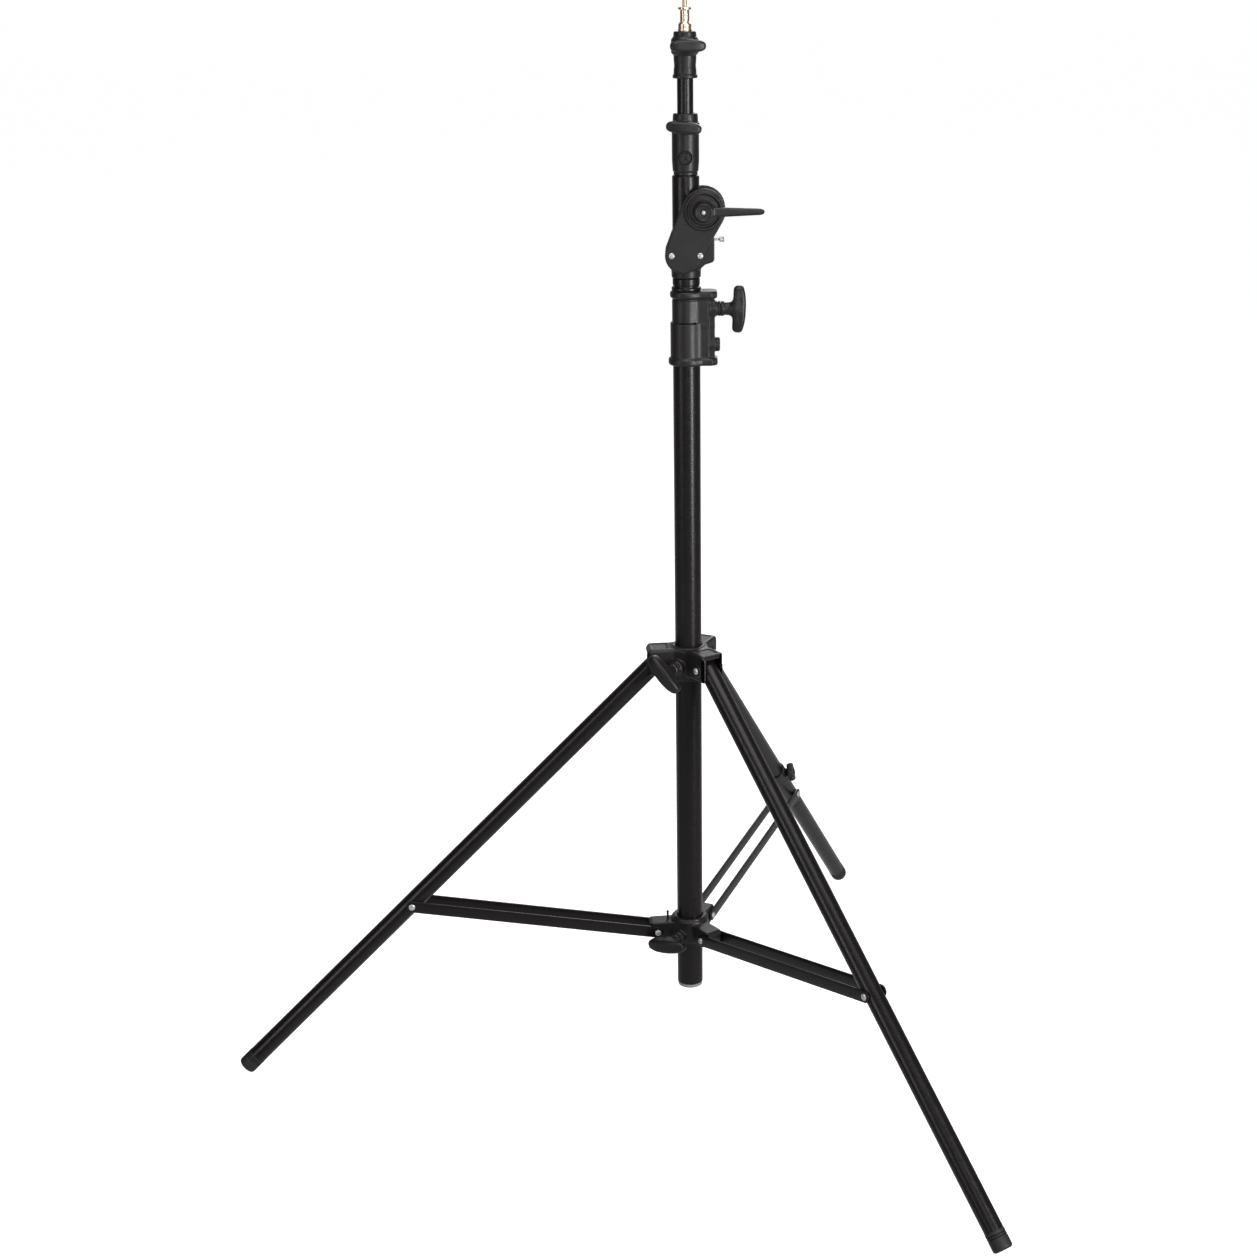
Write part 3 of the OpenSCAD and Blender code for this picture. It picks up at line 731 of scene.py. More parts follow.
def plate_field(front):
    def f(x, y, z):
        yy = -y if front else y
        out = capsule2(x, z, TILT_X, TILT_Z, 27.4, -4, 1113, 22.4)
        d = extrude(out, yy, 17.65, 22.6, 1.7)
        rr = np.sqrt((x - TILT_X) ** 2 + (z - TILT_Z) ** 2)
        d = smin(d, extrude(rr - 24, yy, 18, 24.6, 1.1), 1.6)
        d = smax(d, -extrude(rr - 20.4, yy, 22.5, 40, 0.4), 0.9)
        d = smin(d, extrude(rr - 17.2, yy, 18, 23.6, 0.7), 0.9)
        d = smax(d, -extrude(rr - 5.1, yy, 0, 40, 0.2), 0.4)
        for xs in (-18, 17.8):
            hole = np.sqrt((x - xs) ** 2 + (z - 1113) ** 2)
            d = smax(d, -extrude(hole - 2.5, yy, 0, 40, 0.2), 0.3)
        # the inner face stays flat on the casting
        return smax(d, 17.62 - yy, 0.3)
    return f


for which in ("front", "back"):
    s = -1 if which == "front" else 1
    ys = sorted((s * 16.6, s * 26.2))
    place("v_link_plate_" + which, *mesh_of(plate_field(s < 0), (-28.5, ys[0], 1088.5), (51.5, ys[1], 1197.5), (0.75, 0.6, 0.75)), HEAD, "link_plate_" + which, "grey_casting")


def screw_head(r, h, cross=True, segs=60):
    """A plain pan head, from z 0 to h."""
    v, f = revolve(fillet([(0, 0), (r, 0), (r, 0.45 * h), (0.55 * r, h), (0, h)], [0, 0.1, 0.35 * h, 0.5 * h, 0], closed=False, support=0.03), segs)
    return v, f


heads = []
for xs in (-18, 17.8):
    heads.append(moved(solid([(0, -22.4), (2.4, -22.4), (2.4, 22.4), (0, 22.4)], 0.1, 40), tr(xs, 0, 1113) @ TO_Y))
    heads.append(moved(screw_head(3.9, 2.0), tr(xs, 22.4, 1113) @ TO_Y))

    def phillips(x, y, z):
        rho = np.sqrt(x * x + y * y)
        d = extrude(rho - 3.9, z, 0, 2.0, 0.2)
        d = smax(d, np.sqrt(x * x + y * y + (z + 3.4) ** 2) - 5.45, 0.5)
        arm = np.minimum(box2(x, y, 2.6, 0.42), box2(x, y, 0.42, 2.6))
        return smax(d, -extrude(arm, z, 0.75, 5, 0.05), 0.15)
    heads.append(moved(mesh_of(phillips, (-4.4, -4.4, -0.4), (4.4, 4.4, 2.5), 0.2), tr(xs, -22.4, 1113) @ rot("X", 90) @ rot("Z", 24)))
place("v_head_screws", *merge(heads), HEAD, "head_screws", "zinc_steel", sharp=45)


def knurl(lo, hi, n=22, depth=0.28):
    def shape(th, r, z):
        if r < 2.4 or not lo < z < hi:
            return np.full(len(th), r)
        return r - depth * (0.5 + 0.5 * np.cos(th * n))
    return shape


pin = solid([(0, 19.3), (1.6, 19.3), (1.6, 42), (3.3, 42), (3.3, 42.9), (3.3, 47.1), (3.3, 48), (0, 48)], [0, 0.3, 0.2, 0.35, 0, 0, 0.5, 0], 88, shape=knurl(42.6, 47.4))
place("v_lock_pin", *moved(pin, TO_X), HEAD @ tr(0, 0, 1130.5), "lock_pin", "zinc_steel")


def sleeve(x, y, z):
    body = poly2(np.sqrt(x * x + y * y), z, fillet([(-10, 1131), (17, 1131), (17, 1210), (-10, 1210)], [0, 0.8, 1.3, 0], support=0))
    lug = np.minimum(circle2(x - TILT_X, z - TILT_Z, 18.0), poly2(x, z, [(0, TILT_Z - 20), (TILT_X, TILT_Z - 18), (TILT_X, TILT_Z + 18), (0, TILT_Z + 22)]))
    d = smin(body, extrude(lug, y, -16.8, 16.8, 1.0), 2.0)
    d = smax(d, -extrude(circle2(x, y, 12.8), z, 1100, 1240, 0.2), 0.7)
    return smax(d, -rod(x - TILT_X, z - TILT_Z, y, 5.1, -30, 30, 0.2), 0.4)


place("v_boom_sleeve", *mesh_of(sleeve, (-18.5, -18.5, 1129.5), (41.5, 18.5, 1211.6), 0.75), HEAD, "boom_sleeve", "black_tube")
place("v_pivot_bolt", *merge([moved(solid([(0, -25.9), (4.9, -25.9), (4.9, 26), (0, 26)], 0.4, 56), TO_Y),
                              moved(solid([(0, 24.7), (9.8, 24.7), (9.8, 26.0), (0, 26.0)], [0, 0.3, 0.4, 0], 72), TO_Y),
                              moved(hex_head(9.0, 5.8), tr(0, 26, 0) @ TO_Y)]), HEAD @ tr(TILT_X, 0, TILT_Z), "pivot_bolt", "zinc_steel", sharp=35)


def handle(x, y, z):
    rho = np.sqrt(x * x + z * z)
    yy = -y
    prof = poly2(rho, yy, fillet([(-8, 26.3), (13.4, 26.3), (13.4, 30), (12.5, 31), (12.3, 38.6), (10.6, 42.4), (-8, 42.4)], [0, 0.8, 0.9, 0.5, 2.2, 1.2, 0], support=0))
    lever = poly2(x, z, fillet([(0, -6.6), (20, -5.9), (70, -3.9), (74, -2.8), (75.4, 0), (74, 2.8), (70, 3.9), (20, 5.9), (0, 6.6)], [0, 6, 6, 2, 1.5, 2, 6, 6, 0], support=0))
    d = smin(prof, extrude(lever, yy, 31, 40, 3.0), 4.0)
    d = smax(d, -extrude(rho - 8.6, yy, 41.2, 60, 0.2), 0.8)
    return smax(d, -extrude(rho - 4.5, yy, 40, 60, 0.2), 0.3)


place("v_ratchet_handle", *mesh_of(handle, (-15, -44, -15), (77, -25, 15), 0.7), HEAD @ tr(TILT_X, 0, TILT_Z), "ratchet_handle", "black_plastic")
place("v_ratchet_cap", *moved(solid([(0, 40.1), (2.7, 40.1), (2.7, 41.6), (1.9, 42.6), (0, 43)], [0, 0.1, 0.5, 0.6, 0], 64), rot("X", 90)),
      HEAD @ tr(TILT_X, 0, TILT_Z), "ratchet_cap", "zinc_steel")

# ================================================================ boom
place("v_boom_tube", *tube(12.5, 10.7, 1133, 1266.5, 0.35, 96), HEAD, "boom_tube", "black_tube")


def boom_collar(x, y, z):
    rho = np.sqrt(x * x + y * y)
    d = poly2(rho, z, fillet([(-8, 1210.5), (15, 1210.5), (15, 1214.6), (16.0, 1215.2), (16.9, 1228), (16.9, 1262), (17.5, 1264), (17.5, 1273.4), (15.9, 1274.6), (15.2, 1285), (-8, 1285)],
                              [0, 0.5, 0.5, 0.8, 6, 3, 1.5, 1.4, 0.7, 1.3, 0], support=0))
    a, b = math.radians(-93), math.radians(-92)
    ua, va = x * math.cos(a) + y * math.sin(a), -x * math.sin(a) + y * math.cos(a)
    ub, vb = x * math.cos(b) + y * math.sin(b), -x * math.sin(b) + y * math.cos(b)
    d = smin(d, rod(va, z - 1270, ua, 6.6, 8, 24, 0.8), 3.5)
    d = smax(d, -extrude(rho - 12.5, z, 1190, 1266.5, 0.1), 0.4)
    d = smax(d, -extrude(rho - 10.3, z, 1250, 1300, 0.1), 0.6)
    d = smax(d, -rod(va, z - 1270, ua, 3.3, 0, 40, 0.1), 0.3)
    d = smax(d, -rod(vb, z - 1232, ub, 8.6, 13.5, 30, 0.4), 0.4)
    return smax(d, -rod(vb, z - 1232, ub, 4.0, 5, 30, 0.1), 0.3)


place("v_boom_collar", *mesh_of(boom_collar, (-19, -26, 1209), (19, 19, 1286.6), 0.72), HEAD, "boom_collar", "grey_casting")
cs = revolve(fillet([(0, 12.6), (4, 12.6), (4, 15.2), (6.4, 15.2), (6.4, 17.2), (2.7, 17.2), (2.6, 14.8), (0, 14.8)], [0, 0.2, 0.1, 0.1, 0.7, 0.2, 0.1, 0], closed=False), 72,
             shape=lambda th, r, z: np.where((r < 2.9) & (z > 14.7), np.minimum(r, hex_radius(2 * r, th)), r))
place("v_collar_screw", *moved(cs, TO_X), HEAD @ tr(0, 0, 1232) @ rot("Z", -92), "collar_screw", "black_plastic", sharp=40)
SMALL = knob_mesh(45, 7.5, 6.2, 24.3, 37, 7.2, 0.62)
knob_piece("v_boom_knob", "boom_knob", SMALL, HEAD, 1270, -93, 84)

# ================================================================ tip
place("v_tip_tube", *tube(10, 8.6, 1174, 1343, 0.3, 88), HEAD, "tip_tube", "black_tube")


def tip_socket(x, y, z):
    rho = np.sqrt(x * x + y * y)
    d = poly2(rho, z, fillet([(-8, 1327), (15.3, 1327), (15.3, 1330.6), (14.1, 1332), (13.9, 1337), (13.3, 1342), (13.9, 1349), (14.0, 1354), (15.4, 1355.4), (17, 1357.4), (17, 1372.6),
                              (15.2, 1375.4), (14.3, 1375.9), (13.7, 1382.3), (-8, 1382.3)],
                             [0, 1.0, 1.0, 0.8, 3, 6, 3, 1, 0.8, 0.9, 1.0, 0.6, 0.5, 1.4, 0], support=0))
    a = math.radians(-84)
    ua, va = x * math.cos(a) + y * math.sin(a), -x * math.sin(a) + y * math.cos(a)
    d = smin(d, rod(va, z - TIP_Z, ua, 6.6, 8, 24, 0.8), 3.0)
    d = smax(d, -extrude(rho - 10.0, z, 1300, 1343, 0.1), 0.4)
    d = smax(d, -extrude(rho - 8.15, z, 1345.5, 1400, 0.1), 0.8)
    return smax(d, -rod(va, z - TIP_Z, ua, 3.3, 0, 40, 0.1), 0.3)


place("v_tip_socket", *mesh_of(tip_socket, (-18.5, -26, 1325.5), (18.5, 18.5, 1384), 0.7), HEAD, "tip_socket", "grey_casting")
knob_piece("v_tip_knob", "tip_knob", SMALL, HEAD, TIP_Z, -84, 90)

stud = solid([(0, 1347), (7.8, 1347), (7.8, 1355), (6.2, 1355), (6.2, 1376), (7.8, 1376), (7.8, 1382.7), (8.6, 1382.7), (8.6, 1385), (8, 1385), (8, 1391), (5.6, 1393.4),
              (5.6, 1407), (8, 1408), (8, 1410.5), (0, 1410.5)],
             [0, 0.5, 0.4, 0.3, 0.3, 0.4, 0.2, 0.5, 0.5, 0.2, 0.5, 0.6, 0.6, 0.3, 0.5, 0], 104)
place("v_brass_stud", *merge([stud, threaded(3.175, 1410.3, 1421.0, 1.27, 0.62, 56, 0.6, 8)]), HEAD, "brass_stud", "brass", sharp=50)


# ================================================================ leg collar
EARS = [math.radians(a) for a in (90, 210, 330)]
EAR_HW, EAR_TOP = 18.4, 21.5


def turned(x, y, a):
    return x * math.cos(a) + y * math.sin(a), -x * math.sin(a) + y * math.cos(a)


def leg_collar(x, y, z):
    rho = np.sqrt(x * x + y * y)
    d = extrude(rho - 26, z, CP - 22, CP + 20.4, 1.6)
    d = smin(d, extrude(rho - 22.4, z, CP + 10, CP + 23.2, 1.4), 1.6)
    ears = None
    for a in EARS:
        u, v = turned(x, y, a)
        side = poly2(u, z, fillet([(8, CP - 15), (57.6, CP - 15), (57.6, CP + EAR_TOP), (8, CP + EAR_TOP)], [0, 4.0, 8, 0], steps=6, support=0))
        e = extrude(side, v, -EAR_HW, EAR_HW, 4.2)
        e = smax(e, box2(u - 24, v, 33.6, EAR_HW, 5.0), 2.0)
        # a shallow panel in the flat top, inside a raised border
        panel = extrude(box2(u - 39.5, v, 10.5, 11.8, 3.0), z, CP + 20.5, CP + 40, 0.3)
        e = smax(e, -panel, 0.8)
        e = smin(e, rod(u - LEG_PIVOT_R, z - CP, v, 8.0, -19.4, 19.4, 0.7), 1.6)
        ears = e if ears is None else np.minimum(ears, e)
    d = smin(d, ears, 3.0)
    ku, kv = turned(x, y, math.radians(262))
    d = smin(d, rod(kv, z - CP + 2, ku, 10.5, 14, 34, 1.0), 2.5)
    d = smin(d, rod(kv, z - CP + 2, ku, 9.4, 20, 38, 0.8), 0.8)
    for a in EARS:
        u, v = turned(x, y, a)
        slot = np.maximum(np.maximum(np.abs(v) - (LEG_R + GAP), 26 - u), z - (CP + 16.2))
        d = smax(d, -slot, 0.9)
        d = smax(d, -rod(u - LEG_PIVOT_R, z - CP, v, 3.05, -40, 40, 0.1), 0.3)
    d = smax(d, -extrude(rho - (COL_R + GAP), z, CP - 80, CP + 80, 0.1), 1.0)
    return smax(d, -rod(kv, z - CP + 2, ku, 4.3, 0, 60, 0.1), 0.3)


place("v_leg_collar", *mesh_of(leg_collar, (-53, -42, CP - 24), (53, 60, CP + 25), 0.85), WORLD, "leg_collar", "grey_casting")


def through_bolt(r, half, head_r, head_h):
    """A pivot bolt along Y with a round head at each end."""
    shank = moved(solid([(0, -half), (r, -half), (r, half), (0, half)], 0.05, 40), TO_Y)
    dome = solid([(0, -0.1), (head_r, -0.1), (head_r, 0.42 * head_h), (0.62 * head_r, 0.92 * head_h), (0, head_h)], [0, 0.1, 0.5, 1.2, 0], 60)
    return [shank, moved(dome, tr(0, -half, 0) @ rot("X", 90)), moved(dome, tr(0, half, 0) @ TO_Y)]


bolts = []
for a in (90, 210, 330):
    bolts += [moved(p, rot("Z", a) @ tr(LEG_PIVOT_R, 0, CP)) for p in through_bolt(3.0, 19.4, 4.4, 2.4)]
place("v_leg_pivot_bolts", *merge(bolts), WORLD, "leg_pivot_bolts", "zinc_steel")
MID = knob_mesh(61, 9.3, 8.5, 38.4, 62, 8.6, 0.72)
knob_piece("v_leg_collar_knob", "leg_collar_knob", MID, WORLD, CP - 2, 262, 45)

# ================================================================ legs
FOOT = fillet([(0, -LEG_LEN), (9.6, -LEG_LEN), (12.3, -LEG_LEN + 1.4), (FOOT_R, -LEG_LEN + 4.4), (FOOT_R, -LEG_LEN + 15), (12.5, -LEG_LEN + 15.3), (12.5, -LEG_LEN + 16.7), (FOOT_R, -LEG_LEN + 17),
               (FOOT_R, -LEG_LEN + 18.2), (12.5, -LEG_LEN + 18.5), (12.5, -LEG_LEN + 19.9), (FOOT_R, -LEG_LEN + 20.2), (FOOT_R, -LEG_LEN + 23.9), (12.5, -LEG_LEN + 23.95),
               (12.5, -LEG_LEN + 6), (11, -LEG_LEN + 6), (11, -LEG_LEN + 16), (0, -LEG_LEN + 16)],
              [0, 1.6, 1.6, 2.4, 0.2, 0.15, 0.15, 0.2, 0.2, 0.15, 0.15, 0.2, 0.5, 0, 0, 0, 0, 0], closed=False, steps=5, support=0)
for side, az in AZ.items():
    L = leg_frame(az)
    z_end = 503.0 if side == "rear" else LEG_LEN - 6
    place(f"v_{side}_leg_tube", *tube(LEG_R, LEG_R - 1.5, -z_end, 6, 0.3, 96), L, f"{side}_leg_tube", "black_tube")
    place(f"v_{side}_leg_plug", *solid([(0, 4), (LEG_R - 1.5, 4), (LEG_R - 1.5, 6), (LEG_R, 6), (LEG_R, 8.4), (0, 8.4)], [0, 0.2, 0.1, 0.2, 1.2, 0], 96), L, f"{side}_leg_plug", "black_plastic")
    place("v_level_foot" if side == "rear" else f"v_{side}_foot", *revolve(FOOT, 96), L, "level_foot" if side == "rear" else f"{side}_foot", "foot_rubber")
LR = leg_frame(90)
place("v_level_tube", *tube(LEG_R, LEG_R - 1.5, -LEG_LEN + 6, -504, 0.3, 96), LR, "level_tube", "black_tube")
place("v_level_liner", *tube(LEG_R - 1.8, LEG_R - 3.2, -650, -330, 0.3, 80), LR, "level_liner", "black_tube")


def level_clamp(x, y, z):
    rho = np.sqrt(x * x + y * y)
    d = poly2(rho, z, fillet([(-8, -16), (14.3, -16), (14.8, -13.5), (14.8, 13.5), (14.3, 16), (-8, 16)], [0, 0.8, 1.2, 1.2, 0.8, 0], support=0))
    d = smin(d, rod(y, z, x, 6.4, 6, 15.4, 0.6), 2.0)
    d = smax(d, -extrude(rho - 12.5, z, -40, 40, 0.1), 0.3)
    return smax(d, -rod(y, z, x, 3.3, 0, 40, 0.1), 0.3)


place("v_level_clamp", *mesh_of(level_clamp, (-16.2, -16.2, -17.4), (17, 16.2, 17.4), 0.7), LEVEL, "level_clamp", "black_plastic" if NODE_SLOT.get("level_clamp") == "black_plastic" else "grey_casting")


def star_knob(x, y, z):
    rho, th = np.sqrt(y * y + z * z), np.arctan2(z, y)
    lobed = rho - (13.6 + 1.3 * np.cos(6 * th) * np.clip(rho / 12, 0, 1))
    d = extrude(lobed * 0.94, x, 17.2, 25.2, 2.6)
    d = smax(d, -(np.sqrt((x - 33.6) ** 2 + rho * rho) - 10.2), 1.5)
    return smin(d, rod(y, z, x, 5.0, 15.7, 20, 0.5), 1.2)


place("v_level_knob", *mesh_of(star_knob, (14.6, -16.4, -16.4), (26.4, 16.4, 16.4), 0.55), LEVEL, "level_knob", "black_plastic")


# ================================================================ brace collar
def brace_collar(x, y, z):
    rho = np.sqrt(x * x + y * y)
    d = poly2(rho, z, fillet([(-8, BP - 16), (25.5, BP - 16), (25.5, BP + 16.6), (23.4, BP + 17.4), (22.8, BP + 20), (-8, BP + 20)], [0, 1.6, 1.4, 0.8, 1.2, 0], support=0))
    ears = None
    for a in EARS:
        u, v = turned(x, y, a)
        side = poly2(u, z, fillet([(8, BP - 14), (BP_R - 2, BP - 12), (BP_R + 8, BP - 8), (BP_R + 11.4, BP + 2), (BP_R + 11.4, BP + 9.5), (BP_R + 8, BP + 13), (8, BP + 13.5)],
                                  [0, 8, 5, 5, 3, 3, 0], support=0))
        e = extrude(side, v, -LEG_R + 0.15, LEG_R - 0.15, 1.8)
        ears = e if ears is None else np.minimum(ears, e)
    d = smin(d, ears, 3.2)
    ku, kv = turned(x, y, math.radians(260))
    d = smin(d, rod(kv, z - BP + 6, ku, 10.2, 14, 32, 1.0), 2.2)
    d = smin(d, rod(kv, z - BP + 6, ku, 9.2, 20, 35, 0.8), 0.8)
    for a in EARS:
        u, v = turned(x, y, a)
        d = smax(d, -rod(u - BP_R, z - BP, v, 3.0, -40, 40, 0.1), 0.3)
    d = smax(d, -extrude(rho - (COL_R + GAP), z, BP - 80, BP + 80, 0.1), 1.0)
    lu, lv = turned(x, y, math.radians(210))
    d = smax(d, -rod(lu - 31, lv, z, 1.5, BP + 5, BP + 40, 0.1), 0.3)
    return smax(d, -rod(kv, z - BP + 6, ku, 4.3, 0, 60, 0.1), 0.3)


place("v_brace_collar", *mesh_of(brace_collar, (-54, -37.5, BP - 17.6), (54, 59, BP + 21.6), 0.85), WORLD, "brace_collar", "grey_casting")
bolts = []
for a in (90, 210, 330):
    bolts += [moved(p, rot("Z", a) @ tr(BP_R, 0, BP)) for p in through_bolt(3.0, BAR_Y + BAR_T + GAP, 4.2, 2.4)]
place("v_brace_pivot_bolts", *merge(bolts), WORLD, "brace_pivot_bolts", "zinc_steel")
place("v_catch_pin", *solid([(0, 0), (1.5, 0), (1.5, 18), (1.9, 18.4), (1.9, 19.2), (1.1, 21), (0, 21)], [0, 0.1, 0.2, 0.2, 0.2, 0.5, 0], 40), rot("Z", 210) @ tr(31, 0, BP + 5), "catch_pin", "black_plastic")
LOW = knob_mesh(61, 9.6, 8.5, 35.4, 58, 8.6, 0.72)
knob_piece("v_brace_collar_knob", "brace_collar_knob", LOW, WORLD, BP - 6, 260, 100)


# ================================================================ braces
def bar(y0, y1, edge=0.55, arc=20):
    """A flat bar with full round ends, softened edges and two bolt holes, from y0 to y1."""
    r = BAR_H / 2

    def outline(inset):
        q = r - inset
        pts = [(q * math.cos(t), q * math.sin(t)) for t in np.linspace(math.pi / 2, 3 * math.pi / 2, arc + 1)]
        pts += [(BRACE_LEN + q * math.cos(t), q * math.sin(t)) for t in np.linspace(-math.pi / 2, math.pi / 2, arc + 1)]
        return pts

    levels = []
    for k in range(4):
        t = k / 3 * math.pi / 2
        levels.append((edge * (1 - math.sin(t)), edge * (1 - math.cos(t))))
    rings = [(inset, y0 + up) for inset, up in levels] + [(inset, y1 - up) for inset, up in reversed(levels)]
    n = 2 * (arc + 1)
    verts, faces = [], []
    for inset, y in rings:
        verts += [(x, y, z) for x, z in outline(inset)]
    for i in range(len(rings) - 1):
        for k in range(n):
            k2 = (k + 1) % n
            faces.append((i * n + k, i * n + k2, (i + 1) * n + k2, (i + 1) * n + k))
    # the two broad faces: strips between the outline and each bolt hole, joined across the middle
    for ring, y in ((0, y0), (len(rings) - 1, y1)):
        base = ring * n
        holes = []
        for cx, hr, ang in ((0.0, 3.2, np.linspace(math.pi / 2, 3 * math.pi / 2, arc + 1)), (BRACE_LEN, 3.0, np.linspace(-math.pi / 2, math.pi / 2, arc + 1))):
            start = len(verts)
            verts += [(cx + hr * math.cos(t), y, hr * math.sin(t)) for t in ang]
            inner = len(verts)
            verts += [(cx - hr * math.cos(t), y, hr * math.sin(t)) for t in ang[1:-1]]
            holes.append((start, inner))
        for hh, (start, inner) in enumerate(holes):
            o = base + hh * (arc + 1)
            for k in range(arc):
                faces.append((o + k, o + k + 1, start + k + 1, start + k))
        (s0, i0), (s1, i1) = holes
        o0, o1 = base, base + arc + 1
        left = [s0] + list(range(i0, i0 + arc - 1)) + [s0 + arc]
        right = [s1 + arc] + [i1 + arc - 2 - k for k in range(arc - 1)] + [s1]
        loop = [o0] + left + [o0 + arc] + [o1] + list(reversed(right)) + [o1 + arc]
        faces.append(tuple(loop))
    # hole walls
    m = len(rings) * n
    per = (arc + 1) + (arc - 1)
    for hh in range(2):
        a0 = m + hh * per
        b0 = m + 2 * per + hh * per
        ca = list(range(a0, a0 + arc + 1)) + list(reversed(range(a0 + arc + 1, a0 + per)))
        cb = list(range(b0, b0 + arc + 1)) + list(reversed(range(b0 + arc + 1, b0 + per)))
        for k in range(len(ca)):
            k2 = (k + 1) % len(ca)
            faces.append((ca[k], ca[k2], cb[k2], cb[k]))
    return np.array(verts), faces


def recalc(ob):
    import bmesh
    bm = bmesh.new()
    bm.from_mesh(ob.data)
    big = [f for f in bm.faces if len(f.verts) > 4]
    if big:
        bmesh.ops.triangulate(bm, faces=big)
    bmesh.ops.recalc_face_normals(bm, faces=bm.faces)
    bm.to_mesh(ob.data)
    bm.free()
    ob.data.update()


for side, az in AZ.items():
    B = brace_frame(az)
    ob = place(f"v_{side}_brace_bars", *merge([bar(BAR_Y, BAR_Y + BAR_T), bar(-BAR_Y - BAR_T, -BAR_Y)]), B, f"{side}_brace_bars", "black_tube")
    recalc(ob)
    ob.data.set_sharp_from_angle(angle=math.radians(50))
    pts = []
    for s in (0, 180):
        pts.append(moved(solid([(0, BAR_Y + 0.02), (2.95, BAR_Y + 0.02), (2.95, BAR_Y + BAR_T), (0, BAR_Y + BAR_T)], 0.02, 40), tr(BRACE_LEN, 0, 0) @ rot("Z", s) @ TO_Y))
        pts.append(moved(solid([(0, 0), (4.4, 0), (4.4, 1.1), (3.0, 2.1), (0, 2.4)], [0, 0.1, 0.6, 1.2, 0], 56), tr(BRACE_LEN, 0, 0) @ rot("Z", s) @ tr(0, BAR_Y + BAR_T, 0) @ TO_Y))
    place(f"v_{side}_brace_bolts", *merge(pts), B, f"{side}_brace_bolts", "zinc_steel")

# ================================================================ what the frame still shows
for name, node in frame["nodes"].items():
    if node.hide_render:
        continue
    slot = NODE_SLOT.get(name, "black_plastic")
    node.data.materials.clear()
    node.data.materials.append(MATS[slot])

# ================================================================ floor, light, world
def stage_material():
    """White paper, lit by its own even light as well as by the lamps."""
    m, nt, b, co = new_material("stage_paper")
    fibre = noise(nt, co, 300.0, 3.0, 0.6)
    nt.links.new(ramp(nt, fibre, [(0.3, (0.74, 0.74, 0.74)), (0.7, (0.76, 0.76, 0.76))]), b.inputs["Base Color"])
    b.inputs["Roughness"].default_value = 0.9
    b.inputs["Specular IOR Level"].default_value = 0.1
    b.inputs["Emission Color"].default_value = (1, 1, 1, 1)
    b.inputs["Emission Strength"].default_value = 0.92
    return m


PAPER = stage_material()


def ground(name, r0, r1):
    steps = 128
    c = [(math.cos(k * 2 * math.pi / steps), math.sin(k * 2 * math.pi / steps)) for k in range(steps)]
    if r0 > 0:
        verts = [(r0 * x, r0 * y, 0) for x, y in c] + [(r1 * x, r1 * y, 0) for x, y in c]
        faces = [(k, k + steps, (k + 1) % steps + steps, (k + 1) % steps) for k in range(steps)]
    else:
        verts = [(r1 * x, r1 * y, 0) for x, y in c]
        faces = [tuple(range(steps))]
    me = bpy.data.meshes.new(name)
    me.from_pydata(verts, [], faces)
    ob = bpy.data.objects.new(name, me)
    bpy.context.scene.collection.objects.link(ob)
    me.materials.append(PAPER)
    ob.visible_glossy = False
    ob.visible_diffuse = False


ground("floor", 0, 60)

CAM_AZ = math.radians(PAN)


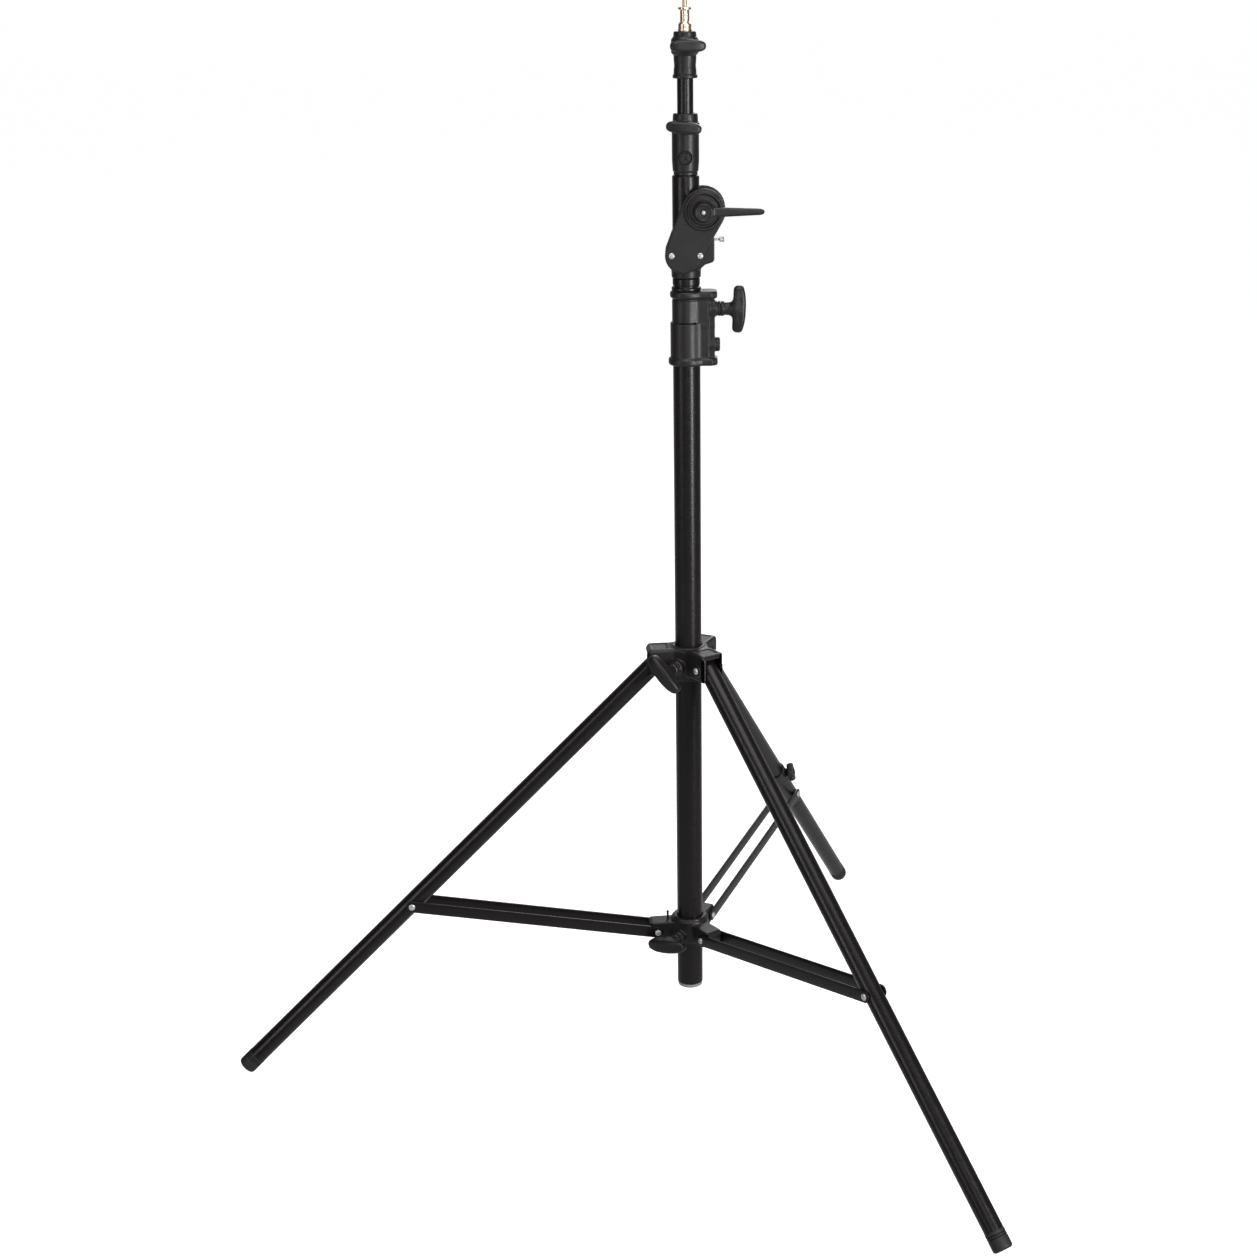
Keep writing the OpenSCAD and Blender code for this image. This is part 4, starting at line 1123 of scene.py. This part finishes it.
def area(name, az, dist, z, w, h, power, target=(0, 0, 0.75), colour=(1, 1, 1)):
    """A softbox; az is measured from the camera's side, positive to its right, in degrees."""
    a = math.radians(-90 + PAN + az)
    data = bpy.data.lights.new(name, "AREA")
    data.shape = "RECTANGLE"
    data.size, data.size_y = w, h
    data.energy = power
    data.color = colour
    ob = bpy.data.objects.new(name, data)
    bpy.context.scene.collection.objects.link(ob)
    ob.location = (dist * math.cos(a), dist * math.sin(a), z)
    ob.rotation_euler = (Vector(target) - ob.location).to_track_quat("-Z", "Y").to_euler()
    return ob


area("softbox_right", 44, 3.0, 1.0, 0.5, 2.0, 62)
area("softbox_left", -50, 3.4, 1.3, 0.8, 2.0, 16)
area("softbox_top", 10, 0.9, 3.4, 2.4, 2.4, 48)
area("softbox_front", 4, 3.2, 1.45, 0.6, 0.9, 11)
area("softbox_back", 165, 3.2, 2.4, 1.6, 1.6, 30)

world = bpy.data.worlds.new("world")
bpy.context.scene.world = world
world.use_nodes = True
nt = world.node_tree
nt.nodes.clear()
wo = nt.nodes.new("ShaderNodeOutputWorld")
mix = nt.nodes.new("ShaderNodeMixShader")
lp = nt.nodes.new("ShaderNodeLightPath")
white = nt.nodes.new("ShaderNodeBackground")
white.inputs["Color"].default_value = (1, 1, 1, 1)
white.inputs["Strength"].default_value = 1.0
soft = nt.nodes.new("ShaderNodeBackground")
soft.inputs["Color"].default_value = (1, 1, 1, 1)
# dim all round, with a pale wall behind the stand
way = nt.nodes.new("ShaderNodeTexCoord")
dot = nt.nodes.new("ShaderNodeVectorMath")
dot.operation = "DOT_PRODUCT"
dot.inputs[1].default_value = (math.cos(math.radians(115.4)), math.sin(math.radians(115.4)), 0.0)
nt.links.new(way.outputs["Generated"], dot.inputs[0])
low = nt.nodes.new("ShaderNodeSeparateXYZ")
nt.links.new(way.outputs["Generated"], low.inputs[0])
both = nt.nodes.new("ShaderNodeMath")
both.operation = "ADD"
nt.links.new(span(nt, dot.outputs["Value"], 0.05, 0.46, 0.5, 0.92), both.inputs[0])
nt.links.new(span(nt, low.outputs["Z"], 0.42, 0.0, -0.6, -0.1), both.inputs[1])
nt.links.new(both.outputs[0], soft.inputs["Strength"])
nt.links.new(lp.outputs["Is Camera Ray"], mix.inputs[0])
nt.links.new(soft.outputs[0], mix.inputs[1])
nt.links.new(white.outputs[0], mix.inputs[2])
nt.links.new(mix.outputs[0], wo.inputs["Surface"])
bpy.context.scene.view_settings.view_transform = "Standard"
bpy.context.scene.view_settings.look = "None"

bpy.context.view_layer.update()
